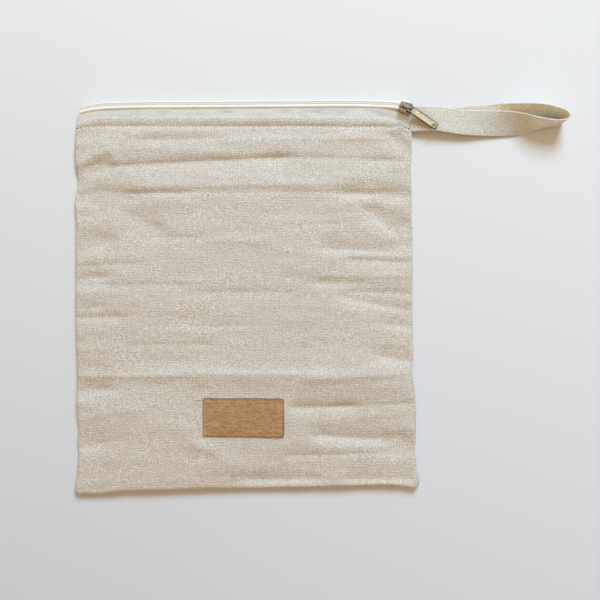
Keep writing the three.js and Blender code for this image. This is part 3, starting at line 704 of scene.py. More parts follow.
def zip_tape(name, light, dark, soft, soft_share):
    """Herringbone tape from the tones of its ribs and of the soft wear over them."""
    material, tree, shader, on_cloth, on_object = new_material(name)
    along_tape, across_tape = split(tree, on_cloth)[0:2]
    zigzag = maths(tree, "PINGPONG", across_tape, BAND_WIDTH / 2)
    ribs = arches(tree, maths(tree, "DIVIDE", maths(tree, "ADD", along_tape, zigzag), RIB_PITCH))
    band_edge = arches(tree, maths(tree, "MULTIPLY", across_tape, 2 / BAND_WIDTH))
    rib_height = maths(tree, "MULTIPLY", ribs, maths(tree, "POWER", band_edge, 0.3))
    drawn = add_node(tree, "ShaderNodeMapping", {"vector_type": "POINT"}, Vector=on_object)
    drawn.inputs["Scale"].default_value = (0.25, 1.0, 1.0)
    tape_tone = place_group(tree, mottle, Place=drawn.outputs[0], Size=0.0034)
    rib_colour = mixed(tree, ribs, (*dark, 1.0), (*light, 1.0))
    tape_soft = ranged(tree, tape_tone.outputs["Tone"], 0.4, 1.0, 0.0, soft_share)
    tree.links.new(mixed(tree, tape_soft, rib_colour, (*soft, 1.0)), shader.inputs["Base Color"])
    shader.inputs["Roughness"].default_value = 0.7
    shader.inputs["Sheen Weight"].default_value = 0.1
    set_bump(tree, shader, rib_height, 0.5, 0.00015)
    return material


tape_white = zip_tape(
    "tape_herringbone", light=(0.98, 0.965, 0.91), dark=(0.50, 0.505, 0.48),
    soft=(0.56, 0.58, 0.575), soft_share=0.8,
)
tape_rim = zip_tape(
    "tape_rim", light=(0.98, 0.97, 0.91), dark=(0.88, 0.86, 0.80),
    soft=(0.90, 0.88, 0.80), soft_share=0.5,
)
print("materials:", tape_white.name, tape_rim.name)

# %% [markdown]
# ### Coil, sewing thread, leather and nickel
# The coil is one nylon filament, milky and half glossy. Thread is twisted, so its bump runs in a
# slant along it. The patch is vegetable tanned leather: a tan that darkens to its cut edges, with a
# pebbled grain. The slider and its pull are warm nickel, bright where it is worn and brown where
# the plating keeps its tarnish, in random patches. The slider's copy is painted far darker than the
# pull's, as painted shade, and the pull's rim gets a painted dark reflection.

# %% Nylon
coil_white, tree, shader, on_cloth, on_object = new_material("coil_nylon")
coil_tone = place_group(tree, mottle, Place=on_object, Size=0.004)
tree.links.new(
    mixed(tree, coil_tone.outputs["Tone"], (0.96, 0.94, 0.86, 1.0), (0.99, 0.975, 0.91, 1.0)),
    shader.inputs["Base Color"],
)
shader.inputs["Roughness"].default_value = 0.45


# %% Twisted thread
def sewing_thread(name, light, dark):
    material, tree, shader, on_cloth, on_object = new_material(name)
    twist = add_node(
        tree, "ShaderNodeTexWave", {"wave_type": "BANDS", "bands_direction": "DIAGONAL"},
        Vector=on_object, Scale=900.0, Distortion=0.6, Detail=1.0,
    )
    twisted = mixed(tree, twist.outputs["Fac"], (*dark, 1.0), (*light, 1.0))
    tree.links.new(twisted, shader.inputs["Base Color"])
    shader.inputs["Roughness"].default_value = 0.75
    shader.inputs["Sheen Weight"].default_value = 0.15
    set_bump(tree, shader, twist.outputs["Fac"], 0.5, 0.0001)
    return material


cream_thread = sewing_thread("thread_cream", (0.92, 0.88, 0.79), (0.66, 0.60, 0.50))
white_thread = sewing_thread("thread_white", (0.90, 0.88, 0.80), (0.72, 0.70, 0.62))
tan_thread = sewing_thread("thread_tan", (0.56, 0.40, 0.24), (0.34, 0.21, 0.11))

# %% Leather
leather, tree, shader, on_cloth, on_object = new_material("patch_leather")
warp_noise = add_node(
    tree, "ShaderNodeTexNoise", {}, Vector=on_object, Scale=200.0, Detail=2.0, Roughness=0.5
)
bent_place = add_node(
    tree, "ShaderNodeVectorMath", {"operation": "MULTIPLY_ADD"},
    Vector=warp_noise.outputs["Color"],
)
bent_place.inputs[1].default_value = (0.004, 0.004, 0.0)
tree.links.new(on_object, bent_place.inputs[2])
slanted = add_node(
    tree, "ShaderNodeMapping", {"vector_type": "POINT"}, Vector=bent_place.outputs[0]
)
slanted.inputs["Rotation"].default_value = (0.0, 0.0, math.radians(24))
slanted.inputs["Scale"].default_value = (0.3, 1.0, 1.0)
wrinkle_lines = ranged(tree, noise(tree, slanted.outputs[0], 720.0, 2.0, 0.6), 0.38, 0.62)
pebbles = add_node(
    tree, "ShaderNodeTexVoronoi", {"feature": "DISTANCE_TO_EDGE", "voronoi_dimensions": "3D"},
    Vector=bent_place.outputs[0], Scale=900.0, Randomness=1.0,
)
grain = ranged(tree, pebbles.outputs["Distance"], 0.0, 0.35)
hide_tone = place_group(tree, mottle, Place=on_object, Size=0.010)
hide_spots = place_group(tree, mottle, Place=on_object, Size=0.0028)
wrinkle_share = maths(tree, "MULTIPLY", wrinkle_lines, 0.8)
pit_share = maths(tree, "MULTIPLY", maths(tree, "SUBTRACT", 1.0, grain), 0.35)
spot_share = ranged(tree, hide_spots.outputs["Tone"], 0.0, 1.0, 0.0, 0.4)
strip_share = maths(tree, "MULTIPLY", attribute_of(tree, "strip"), 0.6)
edge_share = maths(tree, "MULTIPLY", attribute_of(tree, "edge"), 0.85)
hide = mixed(
    tree, hide_tone.outputs["Tone"], (0.50, 0.255, 0.095, 1.0), (0.59, 0.325, 0.13, 1.0)
)
for share, tone in (
    (wrinkle_share, (0.31, 0.15, 0.052, 1.0)), (pit_share, (0.24, 0.115, 0.05, 1.0)),
    (spot_share, (0.66, 0.43, 0.24, 1.0)), (strip_share, (0.50, 0.39, 0.27, 1.0)),
    (edge_share, (0.13, 0.075, 0.042, 1.0)),
):
    hide = mixed(tree, share, hide, tone)
tree.links.new(hide, shader.inputs["Base Color"])
hide_roughness = ranged(tree, hide_spots.outputs["Tone"], 0.0, 1.0, 0.5, 0.72)
tree.links.new(hide_roughness, shader.inputs["Roughness"])
hide_height = maths(tree, "SUBTRACT", grain, maths(tree, "MULTIPLY", wrinkle_lines, 1.2))
set_bump(tree, shader, hide_height, 0.6, 0.00025)


# %% Nickel
def plated(name, tarnished, worn_bright):
    """Warm worn nickel; gives the material, its tree and shader, its place and its colour."""
    material, tree, shader, on_cloth, on_object = new_material(name)
    tarnish = place_group(tree, mottle, Place=on_object, Size=0.0016)
    scratches = noise(tree, on_object, 1800.0, 5.0, 0.7)
    metal = mixed(tree, tarnish.outputs["Tone"], (*tarnished, 1.0), (*worn_bright, 1.0))
    tree.links.new(metal, shader.inputs["Base Color"])
    shader.inputs["Metallic"].default_value = 1.0
    tree.links.new(ranged(tree, scratches, 0.3, 0.7, 0.16, 0.32), shader.inputs["Roughness"])
    set_bump(tree, shader, scratches, 0.15, 0.00005)
    return material, tree, shader, on_object, metal


# painted shade: the slider gets a much darker copy of the pull's nickel, for the shade among its
# plates
nickel = plated("shaded_slider_nickel", tarnished=(0.10, 0.08, 0.055), worn_bright=(0.50, 0.46, 0.37))[0]
print("materials:", coil_white.name, leather.name, nickel.name)

# %% [markdown]
# ## The front cloth
# The front is one sheet of muslin with a waterproof back, crowned by the air inside and creased
# where it was folded for storing. Cloth simulation would make creases of its own, but these ones
# are particular, so each is drawn as a valley or a ridge between two places, and soft noise adds
# the small unevenness between them.

# %% Creases of the front
# across and down at both ends, as shares of the pouch; depth as a share of CREASE_DEPTH, below zero
# a ridge; reach of the upper and the lower side, as shares of CREASE_WIDTH
CREASES = [
    # under the mouth
    (0.07, 0.171, 0.6, 0.148, 0.85, 0.35, 0.95),
    (0.6, 0.148, 0.9, 0.152, 0.35, 0.35, 0.8),
    (0.0, 0.222, 0.07, 0.175, 0.8, 1.3, 0.4),
    (0.01, 0.165, 0.06, 0.145, -0.7, 0.6, 0.9),
    (0.083, 0.1, 0.115, 0.15, -0.35, 0.6, 0.6),
    (0.22, 0.225, 0.8, 0.217, -0.3, 0.8, 0.4),
    (0.22, 0.103, 0.4, 0.1, 0.5, 0.6, 0.5),
    (0.42, 0.103, 0.93, 0.098, -0.25, 0.4, 0.4),
    (0.17, 0.24, 0.99, 0.238, 0.2, 0.3, 0.3),
    # left side
    (0.0, 0.26, 0.14, 0.257, 0.9, 0.8, 0.4),
    (0.015, 0.242, 0.303, 0.24, 0.4, 0.25, 0.3),
    (0.09, 0.262, 0.24, 0.33, 1.0, 1.6, 2.0),
    (0.0, 0.378, 0.08, 0.366, 1.2, 1.1, 0.7),
    (0.039, 0.426, 0.178, 0.422, 0.25, 0.25, 0.4),
    (0.0, 0.462, 0.07, 0.458, 0.9, 0.7, 0.5),
    (0.006, 0.477, 0.312, 0.476, 0.2, 0.25, 0.3),
    (0.0, 0.54, 0.06, 0.535, 0.45, 0.7, 0.4),
    (0.0, 0.562, 0.11, 0.56, 0.5, 0.5, 0.4),
    (0.193, 0.63, 0.386, 0.63, 0.2, 0.3, 0.3),
    (0.2, 0.674, 0.33, 0.672, 0.25, 1.0, 0.6),
    (0.01, 0.713, 0.29, 0.71, -0.3, 0.35, 0.35),
    (0.0, 0.752, 0.08, 0.75, 0.9, 1.0, 0.4),
    (0.02, 0.82, 0.16, 0.80, -0.3, 1.0, 0.6),
    (0.0, 0.9, 0.055, 0.89, 0.95, 1.3, 0.5),
    (0.36, 0.885, 0.46, 0.93, -0.45, 1.1, 0.9),
    # middle
    (0.407, 0.495, 0.624, 0.495, 0.15, 0.25, 0.3),
    (0.341, 0.583, 0.49, 0.583, 0.15, 0.25, 0.3),
    (0.659, 0.325, 0.757, 0.32, 0.18, 0.25, 0.3),
    (0.193, 0.356, 0.327, 0.356, 0.15, 0.25, 0.3),
    (0.416, 0.366, 0.534, 0.366, -0.15, 0.3, 0.3),
    (0.38, 0.703, 0.7, 0.706, -0.6, 0.35, 1.3),
    (0.54, 0.98, 0.7, 0.978, 0.7, 0.8, 0.5),
    # right side
    (0.94, 0.095, 1.0, 0.145, 1.0, 1.0, 0.5),
    (0.882, 0.157, 0.998, 0.157, 0.3, 0.3, 0.3),
    (0.82, 0.243, 1.0, 0.243, 0.85, 0.6, 0.5),
    (0.89, 0.297, 1.0, 0.356, 1.4, 1.2, 0.7),
    (0.76, 0.386, 0.97, 0.392, 0.9, 0.9, 0.4),
    (0.84, 0.413, 1.0, 0.418, 0.65, 0.4, 0.6),
    (0.748, 0.454, 0.92, 0.454, -0.15, 0.3, 0.3),
    (0.733, 0.472, 0.831, 0.472, 0.55, 0.6, 0.5),
    (0.84, 0.495, 1.0, 0.5, 0.4, 0.7, 0.35),
    (0.82, 0.515, 1.0, 0.545, 0.8, 0.9, 0.5),
    (0.94, 0.58, 1.0, 0.586, 0.5, 0.7, 0.5),
    (0.92, 0.664, 1.0, 0.676, 1.1, 1.0, 0.6),
    (0.72, 0.715, 1.0, 0.705, -0.75, 1.3, 0.8),
    (0.63, 0.793, 0.79, 0.79, 0.85, 0.5, 0.6),
    (0.79, 0.79, 1.01, 0.781, 0.4, 0.35, 0.5),
    (0.74, 0.868, 0.95, 0.88, 1.1, 1.0, 0.5),
    (0.67, 0.916, 0.95, 0.91, 0.45, 0.4, 0.6),
    (0.96, 0.906, 1.0, 0.905, 0.8, 0.8, 0.4),
    (0.83, 0.98, 0.97, 0.978, 0.7, 0.8, 0.4),
]


def roll(step):
    """Height of a rolled edge as a share, a quarter of an ellipse."""
    return np.sqrt(np.maximum(1 - (1 - np.clip(step, 0, 1)) ** 2, 0))


FOLD_ROUND = 0.15  # rounding of a pressed fold, as a share of its reach
FOLD_FALL = 1.4  # how fast a pressed fold dies out over its reach
FOLD_FLOOR = -1.6  # the lowest a fold gets, from the level of the chain
FLOOR_KNEE = 0.4  # how softly a fold comes to that level
FOLD_GAIN = 1.75 * CREASE_DEPTH


def crease_height(x, y):
    height = np.zeros(np.broadcast(x, y).shape)
    for across1, down1, across2, down2, depth, above, below in CREASES:
        start = np.array([across1 * POUCH_WIDTH + LEFT_X, TOP_Y - down1 * POUCH_HEIGHT])
        end = np.array([across2 * POUCH_WIDTH + LEFT_X, TOP_Y - down2 * POUCH_HEIGHT])
        length = np.hypot(*(end - start))
        along = (end - start) / length
        travelled = (x - start[0]) * along[0] + (y - start[1]) * along[1]
        beside = along[1] * (x - start[0]) - along[0] * (y - start[1])
        reach = CREASE_WIDTH * np.where(beside > 0, below, above)
        pressed = np.hypot(beside / reach, FOLD_ROUND) - FOLD_ROUND
        beyond = np.maximum(np.maximum(-travelled, travelled - length), 0)
        height -= FOLD_GAIN * depth * np.exp(-FOLD_FALL * pressed - (beyond / CREASE_WIDTH) ** 2)
    return height


def away_from_patch(x, y):
    beside_x = np.maximum(np.abs(x) - PATCH_WIDTH / 2, 0)
    beside_y = np.maximum(np.abs(y - PATCH_Y) - PATCH_HEIGHT / 2, 0)
    return smoothstep(np.hypot(beside_x, beside_y), PIECE_GAP, PATCH_CALM)


# %% Small unevenness, the same on every run
def soft_noise(x, y, seed):
    """Smooth random heights between -1 and 1 over a lattice of unit cells."""
    size = 97
    lattice = np.random.default_rng(seed).uniform(-1, 1, (size, size))
    column, row = np.floor(x).astype(int), np.floor(y).astype(int)
    u, v = x - column, y - row
    u, v = u * u * (3 - 2 * u), v * v * (3 - 2 * v)
    left, right = column % size, (column + 1) % size

    def along_row(number):
        near, far = lattice[number % size, left], lattice[number % size, right]
        return near + (far - near) * u

    low = along_row(row)
    return low + (along_row(row + 1) - low) * v


# height, width, length and seed of the slack's waves, from wide ones to small ones
SLACK_WAVES = [(0.5, 42, 10, 11), (0.22, 16, 4.6, 12), (0.09, 5, 3.2, 13)]
SIDE_PUCKER, SIDE_REACH = 0.75, 16
BOTTOM_PUCKER, BOTTOM_REACH = 0.7, 14
STITCH_PUCKER, STITCH_REACH = 0.2, 4
STITCH_SINK = 1.3
SINK_BELOW, SINK_ABOVE = 1.0, 2.6  # how far the sewn trough reaches on its two sides
UNDER_PATCH = 0.25  # what is left of the small folds under the patch


def small_folds(x, y, from_side, from_bottom):
    """Slack between the creases, puckers at the seams and the trough of the topstitch."""
    slack = sum(
        height * soft_noise(x / width, y / length, seed)
        for height, width, length, seed in SLACK_WAVES
    )
    side = SIDE_PUCKER * np.exp(-from_side / SIDE_REACH)
    side = side * soft_noise(np.where(x > 0, 40.5, 3.5) + x / 60, y / 6, 14)
    bottom = BOTTOM_PUCKER * np.exp(-from_bottom / BOTTOM_REACH)
    bottom = bottom * soft_noise(x / 7.5, 7.5 + 0 * y, 15)
    from_stitch = stitch_line(x) - y
    sewn = STITCH_PUCKER * np.exp(-((from_stitch / STITCH_REACH) ** 2))
    sewn = sewn * soft_noise(x / 3.2, 2.5 + 0 * y, 16)
    sink_reach = np.where(from_stitch > 0, SINK_BELOW, SINK_ABOVE)
    trough = -STITCH_SINK * np.exp(-np.abs(from_stitch) / sink_reach)
    return slack + side + bottom + sewn + trough


def front_lift(x, y):
    """Rise of the front over its rolled edges."""
    from_side = np.maximum(np.minimum(x - left_edge(y), right_edge(y) - x), 0)
    from_bottom = np.maximum(y - bottom_edge(x), 0)
    from_mouth = cloth_edge(x) - y

    def rise(distance):
        return 1 - np.exp(-np.maximum(distance, 0) / CROWN_RUN)

    crown = CROWN_HEIGHT * rise(from_side) * rise(from_bottom) * rise(from_mouth - STITCH_SETBACK)
    in_lip = np.clip(from_mouth / STITCH_SETBACK, 0, 1)
    puff = LIP_PUFF * np.sin(math.pi * in_lip) * roll(from_side / (2 * SEAM_RUN))
    held = roll(from_side / CREASE_WIDTH) * roll(from_bottom / CREASE_WIDTH)
    free = held * smoothstep(from_mouth, STITCH_SETBACK, STITCH_SETBACK + CREASE_WIDTH)
    hems = BOTTOM_PUFF * np.exp(-from_bottom / (3 * SEAM_RUN))
    folded = crown + puff + hems + crease_height(x, y) * free * away_from_patch(x, y)
    # folds end softly where they touch the layers below
    lift = FOLD_FLOOR + FLOOR_KNEE * np.logaddexp((folded - FOLD_FLOOR) / FLOOR_KNEE, 0)
    edge_hold = roll(from_side / SEAM_RUN) * roll(from_bottom / SEAM_RUN)
    edge_hold = edge_hold * roll(from_mouth / CLOTH_WALL)
    folds = small_folds(x, y, from_side, from_bottom)
    return lift + folds * edge_hold * (UNDER_PATCH + (1 - UNDER_PATCH) * away_from_patch(x, y))


# %% Grids between the seams
def stop_list(low_reaches, middle_steps, high_reaches):
    """Places across a sheet: distances from its low edge, even shares, then from its high edge."""
    stops = [("low", reach) for reach in low_reaches]
    stops += [("middle", step / middle_steps) for step in range(1, middle_steps)]
    return stops + [("high", reach) for reach in reversed(high_reaches)]


def place_stop(stop, low, high, low_run, high_run, inset, inset_run):
    """A stop's place between two edges; near them an inner face is set in by the wall."""
    side, value = stop
    if side == "middle":
        return low + low_run + (high - high_run - low - low_run) * value
    if value < inset_run:
        value = inset + value * (inset_run - inset) / inset_run
    return low + value if side == "low" else high - value


def corner_inset(rise):
    to_centre = CORNER_ROUND - min(max(rise, 0), CORNER_ROUND)
    return CORNER_ROUND - math.sqrt(CORNER_ROUND**2 - to_centre**2)


def panel_grid(top_at, mouth_run, columns, rows, inset, height_at):
    """Points of a panel's face; height_at gets each place and how far up the rolled edges it is."""
    last_mouth = max(value for side, value in rows if side == "high")
    grid = []
    for stop in rows:
        def row_place(x, stop=stop):
            run = SEAM_RUN if stop[0] == "low" else mouth_run
            return place_stop(stop, bottom_edge(x), top_at(x), SEAM_RUN, last_mouth, inset, run)

        round_in = corner_inset(stop[1]) if stop[0] == "low" else 0.0
        low = float(left_edge(row_place(LEFT_X))) + round_in
        high = float(right_edge(row_place(RIGHT_X))) - round_in
        runs = (SEAM_RUN, SEAM_RUN, inset, SEAM_RUN)
        x = np.array([place_stop(column, low, high, *runs) for column in columns])
        up = [1.0 if side == "middle" else roll(value / SEAM_RUN) for side, value in columns]
        y = row_place(x)
        edge = np.array(up) * (roll(stop[1] / SEAM_RUN) if stop[0] == "low" else 1.0)
        mouth = roll(stop[1] / mouth_run) if stop[0] == "high" else 1.0
        grid.append(np.stack([x, y, height_at(x, y, edge, mouth)], -1))
    return np.array(grid)


# %% Front cloth
EVERY = 4  # outer points for each inner one
LIP_STEP = 0.5  # width of the grid's rows round the topstitch
INNER_CALM = 0.55  # how much farther the inner face keeps from a fold, as a share of its depth
DEEPEST_KEPT = 1.5
seam_reaches = [SEAM_RUN * share for share in (0.0, 0.03, 0.1, 0.22, 0.4, 0.6, 0.8, 1.0)]
lip_run = CLOTH_WALL + PIECE_GAP
mouth_reaches = [lip_run * share for share in (0.0, 0.04, 0.13, 0.33, 0.6, 1.0)]
mouth_reaches += [lip_run + LIP_STEP * step for step in range(1, 23)]
front_columns = stop_list(seam_reaches, 246, seam_reaches)
front_rows = stop_list(seam_reaches, 250, mouth_reaches)


def front_outer_z(x, y, edge=1.0, mouth=1.0):
    return FRONT_RIM_Z + edge * (CHAIN_Z - FRONT_RIM_Z + CLOTH_WALL * mouth + front_lift(x, y))


def front_inner_z(x, y, edge, mouth):
    # the wide grid cuts the corners of sharp folds, so it is kept farther below them
    below_folds = INNER_CALM * np.minimum(np.abs(crease_height(x, y)), DEEPEST_KEPT)
    return FRONT_RIM_Z + edge * (CHAIN_Z - FRONT_RIM_Z + front_lift(x, y) - below_folds)


front_outer = panel_grid(cloth_edge, lip_run, front_columns, front_rows, 0.0, front_outer_z)
front_inner = panel_grid(
    cloth_edge, lip_run, front_columns[::EVERY], front_rows[::EVERY], CLOTH_WALL, front_inner_z
)
points, faces = closed_sheet(front_outer, front_inner, EVERY)
front_cloth = make_piece("front_cloth", points, faces, panel_cloth, points[:, :2])
point_values(front_cloth, "from_stitch", (points[:, 1] - stitch_line(points[:, 0])) * MM)
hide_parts("front_panel")
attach(front_cloth, "bag")
print("front's highest point, mm:", round(float(front_outer[..., 2].max()), 2))

# %% [markdown]
# ## The back cloth
# The back lies flat on the table. Only its rim shows from the side, and its whole face from below,
# so it gets a wider grid and a shallow unevenness where it isn't pressed flat.

# %% Back cloth
back_seam = [SEAM_RUN * share for share in (0.0, 0.1, 0.4, 1.0)]
back_mouth = [CLOTH_WALL * share for share in (0.0, 0.35, 1.0)] + [4.0, STITCH_SETBACK]
back_columns = stop_list(back_seam, 126, back_seam)
back_rows = stop_list(back_seam, 141, back_mouth)
BACK_HOLLOW = 0.12  # mean gap between the back and the table


def back_under_z(x, y, edge, mouth):
    hollow = BACK_HOLLOW * (1 + soft_noise(x / 24, y / 12, 21)) * edge
    return BACK_RIM_Z * (1 - edge) + hollow


def back_upper_z(x, y, edge, mouth):
    return CLOTH_WALL + (BACK_RIM_Z - CLOTH_WALL) * (1 - edge) + 0 * x


back_under = panel_grid(back_cloth_edge, CLOTH_WALL, back_columns, back_rows, 0.0, back_under_z)
back_upper = panel_grid(
    back_cloth_edge, CLOTH_WALL, back_columns[::EVERY], back_rows[::EVERY], CLOTH_WALL, back_upper_z
)
back_upper[..., 1] = np.minimum(back_upper[..., 1], back_cloth_edge(back_upper[..., 0]))
points, faces = closed_sheet(back_under, back_upper, EVERY)
back_cloth = make_piece("back_cloth", points, faces, panel_cloth, points[:, :2])
# the topstitch doesn't go through the back, so all of it counts as far from the row of holes
point_values(back_cloth, "from_stitch", np.full(len(points), POUCH_HEIGHT * MM))
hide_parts("back_panel")
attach(back_cloth, "bag")

# %% [markdown]
# ## The zip tapes
# The front tape runs flat from the coil to under the cloth. The back tape turns over the pouch's
# upper edge and goes down behind it. Both rise a little where the slider's lower plate lies under
# them, and the slider's post parts them.

# %% Where the zip rises and parts
slider_x = RIGHT_X - SLIDER_INSET
slider_y = float(coil_line(slider_x))
slider_reach = math.hypot(SLIDER_LENGTH, SLIDER_WIDTH) / 2


def chain_lift(x):
    beside = np.abs(x - slider_x)
    return SLIDER_LIFT * (1 - smoothstep(beside, slider_reach, slider_reach + LIFT_RUN))


def tape_split(x):
    parted = smoothstep(x, slider_x - POST_WIDTH, slider_x + POST_WIDTH)
    return PIECE_GAP / 2 + (POST_WIDTH / 2 + PIECE_GAP) * parted


def end_inset(y, z, seam_x):
    open_from = float(cloth_edge(seam_x))
    in_front = smoothstep(z, REAR_TAPE_Z + TAPE_WALL, FRONT_TAPE_Z)
    shown = smoothstep(y, open_from - PIECE_GAP, open_from + PIECE_GAP) * in_front
    return (SEAM_RUN + PIECE_GAP) * (1 - shown) + PIECE_GAP * shown


def zip_ends(y_at, z_at):
    left_y, right_y = float(y_at(LEFT_X)), float(y_at(RIGHT_X))
    left = float(left_edge(left_y)) + float(end_inset(left_y, float(z_at(LEFT_X)), LEFT_X))
    right = float(right_edge(right_y)) - float(end_inset(right_y, float(z_at(RIGHT_X)), RIGHT_X))
    return left, right


# %% Tapes as closed sheets
TAPE_STEPS = 200
TAPE_VISUAL_WALL = 0.8  # thinner than its solid, as woven tape is
TAPE_SWELL = 1.2  # rise of the tape where it is sewn along the coil, away from the slider
TAPE_END = 0.4  # length of the pressed ends of a tape
TAPE_END_WALL = 0.3  # their thickness, as a share of the tape's


def travelled_along(path):
    """The length of a path up to each of its points."""
    steps = np.linalg.norm(np.diff(path, axis=0), axis=1)
    return np.concatenate([[0.0], np.cumsum(steps)])


def tape_piece(name, lines, node, material):
    """A tape from its lines, each giving place, level and the two parts of its outward normal."""
    faces_up = []
    for side in (1, -1):
        rows = []
        for y_at, z_at, normal_y, normal_z in lines:
            left, right = zip_ends(y_at, z_at)
            x = np.linspace(left, right, TAPE_STEPS + 1)
            pressed = (x - left < TAPE_END) | (right - x < TAPE_END)
            thin = np.where(pressed, TAPE_END_WALL, 1.0)
            out = side * TAPE_VISUAL_WALL / 2 * thin
            rows.append(np.stack([x, y_at(x) + out * normal_y, z_at(x) + out * normal_z], -1))
        faces_up.append(np.array(rows))
    outer, inner = faces_up
    travelled = travelled_along(outer[:, TAPE_STEPS // 2])
    flat = np.stack(np.broadcast_arrays(outer[..., 0], travelled[:, None]), -1).reshape(-1, 2)
    points, faces = closed_sheet(outer, inner, 1)
    piece = make_piece(name, points, faces, material, np.concatenate([flat, flat]))
    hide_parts(node)
    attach(piece, "bag")
    return piece


def even_lines(first, last, count):
    """Lines between two lines of a tape, the last one left out."""
    made = []
    for step in range(count):
        share = step / count
        made.append((
            lambda x, share=share: first[0](x) * (1 - share) + last[0](x) * share,
            lambda x, share=share: first[1](x) * (1 - share) + last[1](x) * share,
            first[2], first[3],
        ))
    return made


tape_level = FRONT_TAPE_Z + TAPE_WALL / 2


def level_line(y_at, lift_share):
    """A line of the front half, which rises with the chain or lies flat."""
    return (y_at, lambda x: tape_level + lift_share * chain_lift(x), 0, 1)


def front_inner_line(x):
    return coil_line(x) - tape_split(x)


def swelling(x):
    return TAPE_SWELL * smoothstep(slider_x - x, 0.6 * SLIDER_LENGTH, 2 * SLIDER_LENGTH)


under_cloth = level_line(lambda x: TOP_Y - TAPE_REACH + 0 * x, 0.0)
at_cloth = level_line(lambda x: cloth_edge(x) + PIECE_GAP, 0.0)
at_slider = (
    lambda x: front_inner_line(x) - SLIDER_WIDTH / 2 - PIECE_GAP,
    lambda x: tape_level + 0.7 * swelling(x) + chain_lift(x), 0, 1,
)
beside_coil = (
    lambda x: coil_line(x) - COIL_WIDTH / 2,
    lambda x: tape_level + swelling(x) + chain_lift(x), 0, 1,
)
at_coil = level_line(front_inner_line, 1.0)
front_lines = even_lines(under_cloth, at_cloth, 4) + even_lines(at_cloth, at_slider, 4)
front_lines += even_lines(at_slider, beside_coil, 3) + even_lines(beside_coil, at_coil, 4)
front_lines.append(at_coil)
tape_front = tape_piece("tape_front", front_lines, "zip_tape_front", tape_white)

# %% The back tape, over the pouch's upper edge
rear_level = REAR_TAPE_Z + TAPE_WALL / 2
BEND_STEPS = 14


def bend_line(angle):
    """A line round the upper edge; the angle runs from a quarter turn up to a quarter turn down."""
    def radius(x):
        return (tape_level + chain_lift(x) - rear_level) / 2

    def place(x):
        return fold_edge(x) - radius(x) - TAPE_WALL / 2 + radius(x) * math.cos(angle)

    def level(x):
        return rear_level + radius(x) * (1 + math.sin(angle))

    return (place, level, math.cos(angle), math.sin(angle))


back_coil = level_line(lambda x: coil_line(x) + tape_split(x), 1.0)
bend = [bend_line(math.pi * (0.5 - step / BEND_STEPS)) for step in range(BEND_STEPS + 1)]
rear_edge = (lambda x: TOP_Y - TAPE_REACH + 0 * x, lambda x: rear_level + 0 * x, 0, -1)
rear_lines = even_lines((bend[-1][0], bend[-1][1], 0, -1), rear_edge, 8)[1:]
back_lines = even_lines(back_coil, bend[0], 2) + bend + rear_lines + [rear_edge]
tape_back = tape_piece("tape_back", back_lines, "zip_tape_back", tape_rim)

# %% [markdown]
# ## The coil
# Each half of a coil zip is one stiff filament wound into a flattened spiral and sewn to its tape.
# The two spirals are half a turn apart, so their heads mesh along the middle. A cord runs through
# each spiral, and two rows of stitches hold it down.

# %% Filament tubes
def unit(vectors):
    """Vectors with their length made 1."""
    return vectors / np.linalg.norm(vectors, axis=-1, keepdims=True)


def travel_along(path):
    """The direction of a path at each of its points."""
    return unit(np.gradient(path, axis=0))


def round_tube(path, radius, around):
    """Rings of a round tube along a path, turned as little as possible from ring to ring."""
    travel = travel_along(path)
    side = np.zeros_like(path)
    first = np.cross(travel[0], (0.0, 0.0, 1.0) if abs(travel[0][2]) < 0.9 else (1.0, 0.0, 0.0))
    side[0] = first / np.linalg.norm(first)
    for i in range(1, len(path)):
        carried = side[i - 1] - travel[i] * np.dot(side[i - 1], travel[i])
        side[i] = carried / np.linalg.norm(carried)
    up = np.cross(travel, side)
    angle = np.arange(around) * 2 * math.pi / around
    ring = side[:, None] * np.cos(angle)[None, :, None] + up[:, None] * np.sin(angle)[None, :, None]
    radius = np.broadcast_to(np.asarray(radius, float), (len(path),))
    return path[:, None] + radius[:, None, None] * ring


def joined(parts):
    """Several closed bodies as one list of points and one list of faces."""
    points, faces, shift = [], [], 0
    for body_points, body_faces in parts:
        points.append(body_points)
        faces += [[corner + shift for corner in face] for face in body_faces]
        shift += len(body_points)
    return np.concatenate(points), faces


# %% Two spirals with their cords
COIL_PITCH = 1.15
FILAMENT = 0.9  # diameter
MESH_OVER = 0.3  # how far the heads cross the middle line
COIL_SINK = 0.45  # how far the sewing pulls the coil down into its tape
TURN_STEPS = 14  # points for each turn of the filament
CORE_RADIUS = 0.68
CORE_WIDENING = 1.9  # the cord inside is this much wider than tall
CORE_SHIFT = 0.15  # from the spiral's middle towards its tape
coil_left = zip_ends(coil_line, lambda x: CHAIN_Z + 0 * x)[0]
coil_right = slider_x - POST_WIDTH


def coil_middle_z(x):
    return CHAIN_Z + chain_lift(x) + (COIL_HEIGHT - COIL_SINK) / 2


